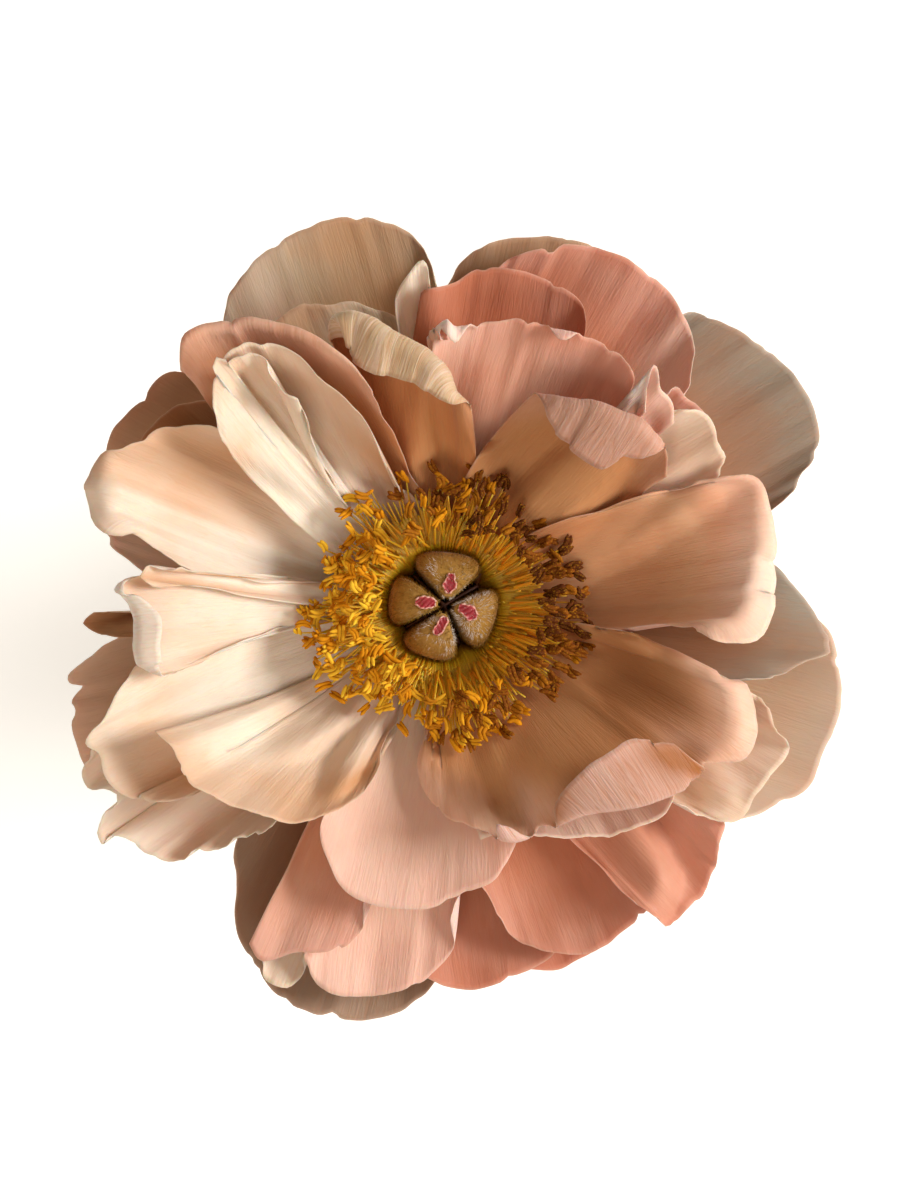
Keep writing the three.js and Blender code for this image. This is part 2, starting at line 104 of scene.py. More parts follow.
def floor():
    """A pale matt floor that reaches far past the picture, under the vase's foot."""
    mesh = bpy.data.meshes.new("floor")
    corners = [(x * FLOOR_HALF, y * FLOOR_HALF, 0) for x, y in ((-1, -1), (1, -1), (1, 1), (-1, 1))]
    mesh.from_pydata(corners, [], [(0, 1, 2, 3)])
    piece = bpy.data.objects.new("floor", mesh)
    bpy.context.scene.collection.objects.link(piece)
    mesh.materials.append(matte_card())


# ---------------------------------------------------------------- materials


def linear(hex_colour):
    """An sRGB hex colour as linear RGBA."""
    values = [int(hex_colour[i:i + 2], 16) / 255 for i in (1, 3, 5)]
    return tuple(v / 12.92 if v <= 0.04045 else ((v + 0.055) / 1.055) ** 2.4 for v in values) + (1.0,)


def add(material, kind, inputs=None, **settings):
    """Adds a node. Inputs are set by name or number, to a value or to another node's output."""
    tree = material.node_tree
    node = tree.nodes.new(kind)
    for key, value in settings.items():
        setattr(node, key, value)
    for key, value in (inputs or {}).items():
        if isinstance(value, bpy.types.NodeSocket):
            tree.links.new(value, node.inputs[key])
        else:
            node.inputs[key].default_value = value
    return node


def material(name, **principled):
    """A material with its shader's constant sockets set; colour names like base_color become Base Color."""
    made = bpy.data.materials.new(name)
    made.use_nodes = True
    shader = made.node_tree.nodes["Principled BSDF"]
    for key, value in principled.items():
        shader.inputs[key.replace("_", " ").title().replace("Ior", "IOR")].default_value = value
    return made, shader


def ramp(made, factor, stops):
    """The colour of a soft colour ramp with (position, hex colour) stops."""
    node = add(made, "ShaderNodeValToRGB", {"Fac": factor})
    node.color_ramp.interpolation = "EASE"
    while len(node.color_ramp.elements) < len(stops):
        node.color_ramp.elements.new(0.5)
    for element, (position, colour) in zip(node.color_ramp.elements, stops):
        element.position = position
        element.color = linear(colour)
    return node.outputs["Color"]


def span(made, value, low, high, bottom=0.0, top=1.0):
    """The value moved from low..high to bottom..top, and held there."""
    inputs = {"Value": value, "From Min": low, "From Max": high, "To Min": bottom, "To Max": top}
    return add(made, "ShaderNodeMapRange", inputs).outputs["Result"]


def blend(made, factor, first, second):
    """Two colours mixed; each is an output or a hex colour."""
    colours = [linear(c) if isinstance(c, str) else c for c in (first, second)]
    return add(made, "ShaderNodeMix", {0: factor, 6: colours[0], 7: colours[1]}, data_type="RGBA").outputs[2]


def calc(made, operation, *values):
    """One sum, such as ADD, on numbers or other nodes' outputs."""
    return add(made, "ShaderNodeMath", dict(enumerate(values)), operation=operation).outputs[0]


def field(made, name):
    """A number that the mesh carries at each vertex."""
    return add(made, "ShaderNodeAttribute", attribute_name=name).outputs["Fac"]


def grain(made, across, along, detail=3.0, warp=0.0):
    """Noise stretched along a petal or stem: streaks so many millimetres wide and long."""
    place = add(made, "ShaderNodeUVMap", uv_map="grain").outputs["UV"]
    scaled = add(made, "ShaderNodeMapping", {"Vector": place, "Scale": (1 / across, 1 / along, 1)})
    inputs = {"Vector": scaled.outputs["Vector"], "Scale": 1.0, "Detail": detail, "Distortion": warp}
    return add(made, "ShaderNodeTexNoise", inputs).outputs["Fac"]


def mottle(made, size, detail=2.0):
    """Noise in patches so many millimetres across."""
    place = add(made, "ShaderNodeTexCoord").outputs["Object"]
    inputs = {"Vector": place, "Scale": 1 / (size * MM), "Detail": detail}
    return add(made, "ShaderNodeTexNoise", inputs).outputs["Fac"]


def relief(made, shader, height, distance, strength):
    """Bumps of so many millimetres on the shader's surface."""
    inputs = {"Height": height, "Distance": distance * MM, "Strength": strength}
    bump = add(made, "ShaderNodeBump", inputs)
    made.node_tree.links.new(bump.outputs["Normal"], shader.inputs["Normal"])


def paint(made, shader, colour, roughness=None):
    """Gives the shader its colour and, where it varies, its roughness."""
    made.node_tree.links.new(colour, shader.inputs["Base Color"])
    if roughness is not None:
        made.node_tree.links.new(roughness, shader.inputs["Roughness"])


STREAK_WIDTH, STREAK_LENGTH = 0.45, 24.0  # the cell rows that give a petal its silk
VEIN_WIDTH, VEIN_LENGTH = 1.7, 50.0
CRINKLE_WIDTH, CRINKLE_LENGTH = 1.1, 6.5  # the creases a petal keeps from the bud
CRINKLE_SHARE = 1.6  # how much deeper the creases are than streaks and veins
PETAL_RELIEF = 0.15
FLUSH_PATCH = 19.0
# Pale colours: silk with a painted sheen, a bleached white that also stands for painted light, and a pale
# edge colour that is a painted highlight.
SILK_SHEEN, BLEACHED_AND_LIT, EDGE_HIGHLIGHT = "#f7e8de", "#fbe8d8", "#f3e0cf"
# The colours of each skin at root, middle and rim, of its flush, its outer face and its deepest parts, which
# also stand for painted shade, and how strong the flush is.
PETAL_COLOURS = {
    "cream": ("#f3e7d9", "#f4e4d2", "#efdbc6", "#e7b48a", "#f0e5d8", "#d39c6e", 0.45),
    "peach": ("#ecca9e", "#ecc09a", "#ecbca0", "#da8f6c", "#e8bcae", "#c07c4e", 0.5),
    "amber": ("#dea673", "#dba06e", "#efc5ae", "#cf8a60", "#e6b9ab", "#a8683a", 0.45),
    "fawn": ("#db9c64", "#d8945f", "#d8a884", "#c07e52", "#d9bc98", "#a8683a", 0.5),
    "coral": ("#dba878", "#de9f7e", "#e4b19e", "#d08465", "#f0c8ba", "#b2623e", 0.6),
    "blush": ("#ecd2b6", "#eec2aa", "#ecb9a6", "#de977e", "#efc8bd", "#bf7350", 0.5),
    "beige": ("#deb686", "#d8b48a", "#bfb09a", "#cc9d74", "#dfcaa8", "#b07c4c", 0.5),
    "grey": ("#d68e68", "#c49676", "#a9a294", "#bb8a6a", "#cfc2ae", "#a2714e", 0.4),
    "tan": ("#cfa77a", "#c69a70", "#bb8a62", "#a8734a", "#d9b796", "#8a5a30", 0.6),
}


def petal_skin(name, root, middle, rim, flush, outer, deep_and_shaded, flush_share):
    """Living petal: thin, moist and silky; light comes through it, and rows of cells give it fine streaks."""
    made, shader = material(name, subsurface_weight=0.4, subsurface_radius=(1.0, 0.42, 0.2),
                            subsurface_scale=0.55 * MM, specular_ior_level=0.32, sheen_weight=0.12,
                            sheen_roughness=0.4, ior=1.4)
    reach, underside, depth_and_painted_light, edge = (field(made, key) for key in ("reach", "underside", "depth_and_painted_light", "edge"))
    streak = grain(made, STREAK_WIDTH, STREAK_LENGTH, detail=4.0, warp=0.15)
    vein = grain(made, VEIN_WIDTH, VEIN_LENGTH, detail=2.0, warp=0.4)
    crinkle = grain(made, CRINKLE_WIDTH, CRINKLE_LENGTH, detail=3.0, warp=1.3)
    body = ramp(made, reach, [(0.0, root), (0.25, root), (0.62, middle), (1.0, rim)])
    flushed = span(made, mottle(made, FLUSH_PATCH), 0.42, 0.66, 0.0, flush_share)
    body = blend(made, calc(made, "MULTIPLY", flushed, span(made, reach, 0.25, 0.8)), body, flush)
    body = blend(made, span(made, vein, 0.52, 0.75, 0.0, 0.06), body, flush)
    # Pale cell rows, partly a painted silky sheen.
    body = blend(made, span(made, streak, 0.5, 0.85, 0.0, 0.22), body, root)
    body = blend(made, span(made, streak, 0.46, 0.2, 0.0, 0.22), body, flush)
    # The creases' troughs are painted towards the flush colour on both faces: painted shade in the creases.
    body = blend(made, span(made, crinkle, 0.48, 0.3, 0.0, 0.2), body, flush)
    back = blend(made, span(made, crinkle, 0.34, 0.56, 0.65, 1.0), flush, outer)
    # Pale cell rows on the outer face, partly a painted silky sheen.
    back = blend(made, span(made, streak, 0.45, 0.8, 0.0, 0.6), back, SILK_SHEEN)
    body = blend(made, underside, body, back)
    # The petal's own depth of colour, with painted shade towards the darkest colour and painted light towards
    # a bleached one.
    body = blend(made, span(made, depth_and_painted_light, 0.0, 1.0), body, deep_and_shaded)
    body = blend(made, span(made, depth_and_painted_light, 0.0, -1.0), body, BLEACHED_AND_LIT)
    # A pale line along each petal's thin edge: a painted highlight.
    body = blend(made, span(made, edge, 0.1, 0.5, 0.16, 0.0), body, EDGE_HIGHLIGHT)
    paint(made, shader, body, span(made, streak, 0.3, 0.7, 0.45, 0.62))
    ribs = calc(made, "MULTIPLY_ADD", crinkle, CRINKLE_SHARE, calc(made, "ADD", streak, vein))
    height = calc(made, "MULTIPLY", ribs, span(made, underside, 0.0, 1.0, 1.0, 1.7))
    relief(made, shader, height, PETAL_RELIEF, 0.6)
    return made


def petal_skins():
    """The petals' materials: cream and peach inside, coral and blush round them, faded tan outermost."""
    return {name: petal_skin("petal_" + name, *colours) for name, colours in PETAL_COLOURS.items()}


def filament_skin():
    """Stamen threads: smooth, wet-looking yellow, deeper at the foot, browner where older and where shade is
    painted on the shaded side.
    """
    made, shader = material("stamen_thread", subsurface_weight=0.7, subsurface_radius=(1.0, 0.45, 0.06),
                            subsurface_scale=2.6 * MM, roughness=0.5)
    reach = field(made, "reach")
    colour = ramp(made, reach, [(0.0, "#d4800a"), (0.45, "#eca012"), (1.0, "#f8be34")])
    # Browner where the anthers are older and where shade is painted on the shaded side.
    aged_and_shaded = calc(made, "MULTIPLY", field(made, "tint"), span(made, reach, 0.0, 1.0, 0.3, 0.7))
    paint(made, shader, blend(made, aged_and_shaded, colour, "#c06c06"))
    return made


def anther_skin():
    """Anthers: dry sacs split along their length, golden with pollen, brown where they have emptied, and
    browner with painted shade on the shaded right-hand side.
    """
    made, shader = material("anther_pollen", roughness=0.75, specular_ior_level=0.14, subsurface_weight=0.15,
                            subsurface_radius=(1.0, 0.6, 0.1), subsurface_scale=0.5 * MM)
    grit = mottle(made, 0.45, detail=3.0)
    colour = ramp(made, field(made, "tint"),
                  [(0.0, "#fbc836"), (0.35, "#dc900e"), (0.7, "#84460a"), (1.0, "#562606")])
    # Each lobe is darker on its face towards the other: painted shade in the furrow between the lobes.
    colour = blend(made, span(made, field(made, "groove_shade"), 0.5, 1.0, 0.0, 0.6), colour, "#7a3c08")
    colour = blend(made, span(made, grit, 0.52, 0.72, 0.0, 0.35), colour, "#f0b022")
    paint(made, shader, colour)
    relief(made, shader, grit, 0.12, 0.8)
    return made


def carpel_skin():
    """Carpels: green-brown flesh under a felt of pale hairs."""
    made, shader = material("carpel_felt", roughness=0.9, sheen_weight=0.15, sheen_roughness=0.5,
                            subsurface_weight=0.2, subsurface_radius=(1.0, 0.6, 0.3), subsurface_scale=1 * MM)
    felt = mottle(made, 0.7, detail=4.0)
    colour = ramp(made, field(made, "reach"),
                  [(0.0, "#5a3a06"), (0.45, "#87590e"), (0.85, "#9a6c1c"), (1.0, "#a87c38")])
    colour = blend(made, span(made, mottle(made, 3.0), 0.45, 0.7, 0.0, 0.6), colour, "#a87c24")
    colour = blend(made, span(made, felt, 0.5, 0.72, 0.0, 0.35), colour, "#cfa050")
    paint(made, shader, colour)
    relief(made, shader, felt, 0.2, 0.8)
    return made


def cleft_shade_skin():
    """The carpels' disc and the walls of their clefts: wet brown flesh, painted nearly black as the shade far
    down in the clefts.
    """
    made, shader = material("carpel_disc", roughness=0.6)
    paint(made, shader, blend(made, mottle(made, 1.2), "#3a180c", "#582c14"))
    return made


def hair_skin():
    """Fine plant hairs: pale and nearly clear, with a painted silvery highlight where light would strike
    them.
    """
    made, shader = material("carpel_hair", roughness=0.6, specular_ior_level=0.2, subsurface_weight=0.3,
                            subsurface_radius=(1.0, 0.9, 0.8), subsurface_scale=0.3 * MM)
    # Random paleness plus the painted silvery highlight.
    paleness_and_glint = calc(made, "ADD", mottle(made, 2.5), field(made, "paleness_and_glint"))
    paint(made, shader, ramp(made, paleness_and_glint, [(0.5, "#84580e"), (0.8, "#b08438"), (1.12, "#f4e6d8")]))
    return made


def stigma_skin():
    """Stigmas: moist crimson ridges with pale pink rims."""
    made, shader = material("stigma", roughness=0.4, subsurface_weight=0.3, subsurface_scale=0.5 * MM,
                            subsurface_radius=(1.0, 0.4, 0.4))
    depth = calc(made, "MULTIPLY_ADD", mottle(made, 0.9), 0.9, field(made, "reach"))
    colour = ramp(made, span(made, depth, 0.3, 1.45),
                  [(0.0, "#e6bba8"), (0.35, "#d98a80"), (0.5, "#b8323f"), (1.0, "#9c222c")])
    colour = blend(made, span(made, mottle(made, 0.6), 0.5, 0.7, 0.0, 0.6), colour, "#7a1a20")
    paint(made, shader, colour)
    relief(made, shader, mottle(made, 0.5), 0.2, 0.8)
    return made


VEIN_GAP = 6.0  # between a leaf's side veins


def leaf_skin(name, top, dark, under, vein):
    """Leaf: waxy above, paler and dull below, with a sunken midrib and slanting side veins."""
    made, shader = material(name, subsurface_weight=0.25, subsurface_radius=(0.4, 1.0, 0.2),
                            subsurface_scale=0.8 * MM, specular_ior_level=0.5, ior=1.45)
    place = add(made, "ShaderNodeUVMap", uv_map="grain").outputs["UV"]
    split = add(made, "ShaderNodeSeparateXYZ", {"Vector": place})
    side = calc(made, "ABSOLUTE", split.outputs["X"])
    slant = calc(made, "MULTIPLY_ADD", side, -0.9, split.outputs["Y"])
    wobble = calc(made, "MULTIPLY_ADD", mottle(made, 9.0), 5.0, slant)
    side_vein = span(made, calc(made, "PINGPONG", wobble, VEIN_GAP / 2), 0.0, 0.42, 1.0, 0.0)
    midrib = span(made, side, 0.25, 0.75, 1.0, 0.0)
    veins = calc(made, "MAXIMUM", midrib, calc(made, "MULTIPLY", side_vein, 0.6))
    body = blend(made, span(made, mottle(made, 12.0), 0.4, 0.65), top, dark)
    body = blend(made, calc(made, "MULTIPLY", veins, 0.7), body, vein)
    underside = field(made, "underside")
    back = blend(made, calc(made, "MULTIPLY", veins, 0.6), under, vein)
    body = blend(made, underside, body, back)
    paint(made, shader, body, span(made, underside, 0.0, 1.0, 0.38, 0.7))
    relief(made, shader, calc(made, "SUBTRACT", 1.0, veins), 0.35, 0.6)
    return made


def stem_skin():
    """Cut green stem: smooth and slightly ribbed, flushed with red on one side."""
    made, shader = material("stem_rind", roughness=0.45, subsurface_weight=0.2, subsurface_scale=1 * MM,
                            subsurface_radius=(0.4, 1.0, 0.2))
    rib = grain(made, 0.9, 60.0, detail=2.0)
    colour = blend(made, span(made, mottle(made, 22.0), 0.45, 0.65), "#72853f", "#8a5c3c")
    colour = blend(made, span(made, rib, 0.45, 0.7, 0.0, 0.5), colour, "#9aa863")
    paint(made, shader, colour)
    relief(made, shader, rib, 0.15, 0.6)
    return made


RING_GAP = 3.2  # between the marks of the potter's fingers


def glaze():
    """Glazed stoneware: off-white and satin, with faint throwing rings, iron specks and a bare clay foot."""
    made, shader = material("stoneware_glaze", coat_weight=0.5, coat_roughness=0.12, ior=1.5)
    place = add(made, "ShaderNodeTexCoord").outputs["Object"]
    height = add(made, "ShaderNodeSeparateXYZ", {"Vector": place}).outputs["Z"]
    turns = calc(made, "MULTIPLY", height, 1 / (RING_GAP * MM))
    inputs = {"W": turns, "Scale": 1.0, "Detail": 2.0}
    rings = add(made, "ShaderNodeTexNoise", inputs, noise_dimensions="1D").outputs["Fac"]
    body = blend(made, span(made, mottle(made, 26.0), 0.35, 0.65), "#e9e2d3", "#dcd2bd")
    body = blend(made, span(made, mottle(made, 0.9), 0.71, 0.76, 0.0, 0.75), body, "#8d7352")
    bare = span(made, height, 1.6 * MM, 2.2 * MM, 1.0, 0.0)
    body = blend(made, bare, body, "#b99b78")
    paint(made, shader, body, span(made, bare, 0.0, 1.0, 0.3, 0.85))
    relief(made, shader, rings, 0.25, 0.5)
    return made


def clear_water():
    """Still, clear water with the faintest green tint."""
    made, shader = material("still_water", transmission_weight=1.0, roughness=0.0, ior=1.333)
    tint = blend(made, span(made, mottle(made, 30.0), 0.4, 0.6), "#f4fbf7", "#eef7f0")
    paint(made, shader, tint)
    return made


def matte_card():
    """Matt white card, faintly lit from behind."""
    made, shader = material("matte_card", roughness=0.9, specular_ior_level=0.1, emission_strength=0.36)
    paint(made, shader, blend(made, mottle(made, 1.5), "#fbfaf7", "#f7f5f1"))
    return made


# ---------------------------------------------------------------- mesh making


def unit(vectors):
    """The vectors at length 1."""
    return vectors / np.maximum(np.linalg.norm(vectors, axis=-1, keepdims=True), 1e-9)


def piece_from(name, vertices, faces, skin, fields=None, grain_uv=None, node=None, at=BLOOM):
    """A smooth piece from millimetre vertices, with its vertex fields and grain map, riding on the root."""
    mesh = bpy.data.meshes.new(name)
    placed = (np.asarray(vertices, float) + np.array(at)) * MM
    mesh.from_pydata(placed.tolist(), [], faces)
    mesh.polygons.foreach_set("use_smooth", [True] * len(mesh.polygons))
    for key, values in (fields or {}).items():
        numbers = np.asarray(values, np.float32).ravel()
        mesh.attributes.new(key, "FLOAT", "POINT").data.foreach_set("value", numbers)
    if grain_uv is not None:
        layer = mesh.uv_layers.new(name="grain")
        corners = np.zeros(len(mesh.loops), np.int32)
        mesh.loops.foreach_get("vertex_index", corners)
        layer.data.foreach_set("uv", np.asarray(grain_uv, np.float32)[corners].ravel())
    mesh.materials.append(skin)
    mesh.update()
    piece = bpy.data.objects.new(name, mesh)
    bpy.context.scene.collection.objects.link(piece)
    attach(piece, "root")
    if node:
        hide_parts(node)


def sheet(grid, half_thickness):
    """A closed thin sheet about a grid of points: vertices, faces, and 1 for each vertex on its underside."""
    high, wide = grid.shape[:2]
    normal = unit(np.cross(np.gradient(grid, axis=1), np.gradient(grid, axis=0)))
    offset = normal * half_thickness[..., None]
    vertices = np.concatenate([(grid + offset).reshape(-1, 3), (grid - offset).reshape(-1, 3)])
    index = np.arange(high * wide).reshape(high, wide)
    a, b, c, d = index[:-1, :-1], index[:-1, 1:], index[1:, 1:], index[1:, :-1]
    upper = np.stack([a, b, c, d], -1).reshape(-1, 4)
    lower = np.stack([a, d, c, b], -1).reshape(-1, 4) + high * wide
    border = np.concatenate([index[0, :-1], index[:-1, -1], index[-1, :0:-1], index[:0:-1, 0]])
    after = np.roll(border, -1)
    side = np.stack([after, border, border + high * wide, after + high * wide], -1)
    faces = np.concatenate([upper, lower, side]).tolist()
    underside = np.repeat([0.0, 1.0], high * wide)
    return vertices, faces, underside


def both(values):
    """A field of a sheet's grid, for its upper and its lower face."""
    return np.tile(np.ravel(values), 2)


def tubes(lines, radii, sides):
    """Closed tubes along many lines at once. lines is (count, steps, 3), radii is (count, steps)."""
    count, steps = lines.shape[:2]
    ahead = unit(np.gradient(lines, axis=1))
    helper = np.where(np.abs(ahead[..., 2:3]) > 0.9, np.array([1.0, 0, 0]), np.array([0, 0, 1.0]))
    across = unit(np.cross(helper, ahead))
    upward = np.cross(ahead, across)
    angle = np.arange(sides) * 2 * math.pi / sides
    ring = np.cos(angle)[:, None] * across[:, :, None, :] + np.sin(angle)[:, None] * upward[:, :, None, :]
    vertices = (lines[:, :, None, :] + ring * radii[:, :, None, None]).reshape(-1, 3)
    index = np.arange(count * steps * sides).reshape(count, steps, sides)
    turned = np.roll(index, -1, axis=2)
    side = np.stack([index[:, :-1], turned[:, :-1], turned[:, 1:], index[:, 1:]], -1).reshape(-1, 4).tolist()
    ends = index[:, 0, ::-1].tolist() + index[:, -1].tolist()
    return vertices, side + ends, index


def turned_form(profile, segments):
    """A surface of revolution about +Z, from (radius, height) pairs that start and end on the axis."""
    vertices, faces, rings = [], [], []
    for radius, height in profile:
        if radius < 1e-6:
            rings.append([len(vertices)])
            vertices.append((0.0, 0.0, height))
            continue
        rings.append(list(range(len(vertices), len(vertices) + segments)))
        for k in range(segments):
            angle = 2 * math.pi * k / segments
            vertices.append((radius * math.cos(angle), radius * math.sin(angle), height))
    for low, high in zip(rings, rings[1:]):
        for k in range(segments):
            after = (k + 1) % segments
            if len(low) == 1:
                faces.append((low[0], high[after], high[k]))
            elif len(high) == 1:
                faces.append((low[k], low[after], high[0]))
            else:
                faces.append((low[k], low[after], high[after], high[k]))
    return vertices, faces


SPLINE_STEPS = 24  # fine points between two given ones


def spline(points, count):
    """Even points along a centripetal Catmull-Rom curve through the given ones, and its length."""
    points = np.asarray(points, float)
    padded = np.vstack([2 * points[0] - points[1], points, 2 * points[-1] - points[-2]])
    fine = []
    for p0, p1, p2, p3 in zip(padded, padded[1:], padded[2:], padded[3:]):
        gaps = (p1 - p0, p2 - p1, p3 - p2)
        d0, d1, d2 = (max(float(np.sum(gap**2)) ** 0.25, 1e-4) for gap in gaps)
        m1 = ((p1 - p0) / d0 - (p2 - p0) / (d0 + d1) + (p2 - p1) / d1) * d1
        m2 = ((p2 - p1) / d1 - (p3 - p1) / (d1 + d2) + (p3 - p2) / d2) * d1
        s = np.linspace(0, 1, SPLINE_STEPS, endpoint=False)[:, None]
        fine.append((2 * s**3 - 3 * s**2 + 1) * p1 + (s**3 - 2 * s**2 + s) * m1
                    + (3 * s**2 - 2 * s**3) * p2 + (s**3 - s**2) * m2)
    fine = np.vstack(fine + [points[-1:]])
    length = np.concatenate([[0.0], np.cumsum(np.linalg.norm(np.diff(fine, axis=0), axis=1))])
    even = np.linspace(0, length[-1], count)
    return np.stack([np.interp(even, length, fine[:, k]) for k in range(fine.shape[1])], 1), length[-1]


# ---------------------------------------------------------------- petals

WHORLS = {  # radius and height of the roots on the collar, and slope at root and rim in degrees
    "inner": (9.4, -1.8, 8, 58),
    "second": (9.0, -3.6, 8, 30),
    "third": (8.6, -5.4, 0, 26),
    "guard": (8.0, -7.4, -8, 26),
}
WAIST, BULGE = 24, 30  # half the angle a petal's root spans, and how far its sides swell, in degrees
CELL_ACROSS, CELL_ALONG = 1.0, 1.35  # millimetres between grid lines
PETAL_HALF = 0.2  # half a petal's thickness
LIP_ROLL = 2.4  # radius of the roll where a rim turns over
CUP = {"inner": 3.2, "second": 2.0, "third": 1.5, "guard": 1.0}  # how far the sides curl up above the middle
WHOLE_TURN = 6.28  # radians, for random phases
SCALLOPS, SCALLOP_LENGTH, SCALLOP_DEPTH = 6, (2.5, 26), 0.018
NICK_GAP, NICK_DEPTH, NICK_WIDTH = 22, (0.4, 1.1), (0.8, 1.6)
SOFT_WAVES, SOFT_WAVE_LENGTH = 12, (7, 34)
SOFT_WAVE_SLOPE = {"guard": 0.0028, "third": 0.0035, "second": 0.0045, "inner": 0.005}  # height to length
SIDE_WAVES = (0.5, 0.31, 0.17)  # lengths of the waves up a petal's sides, as shares of its length
SIDE_WAVE_HEIGHT = 0.9
LIP_SHARE = 0.35  # how much of its petal's waves a lip takes on
RUFFLES = ((1.0, 1.0), (0.55, 1.7), (0.22, 3.3), (0.1, 6.1))  # height and number, times those of wave
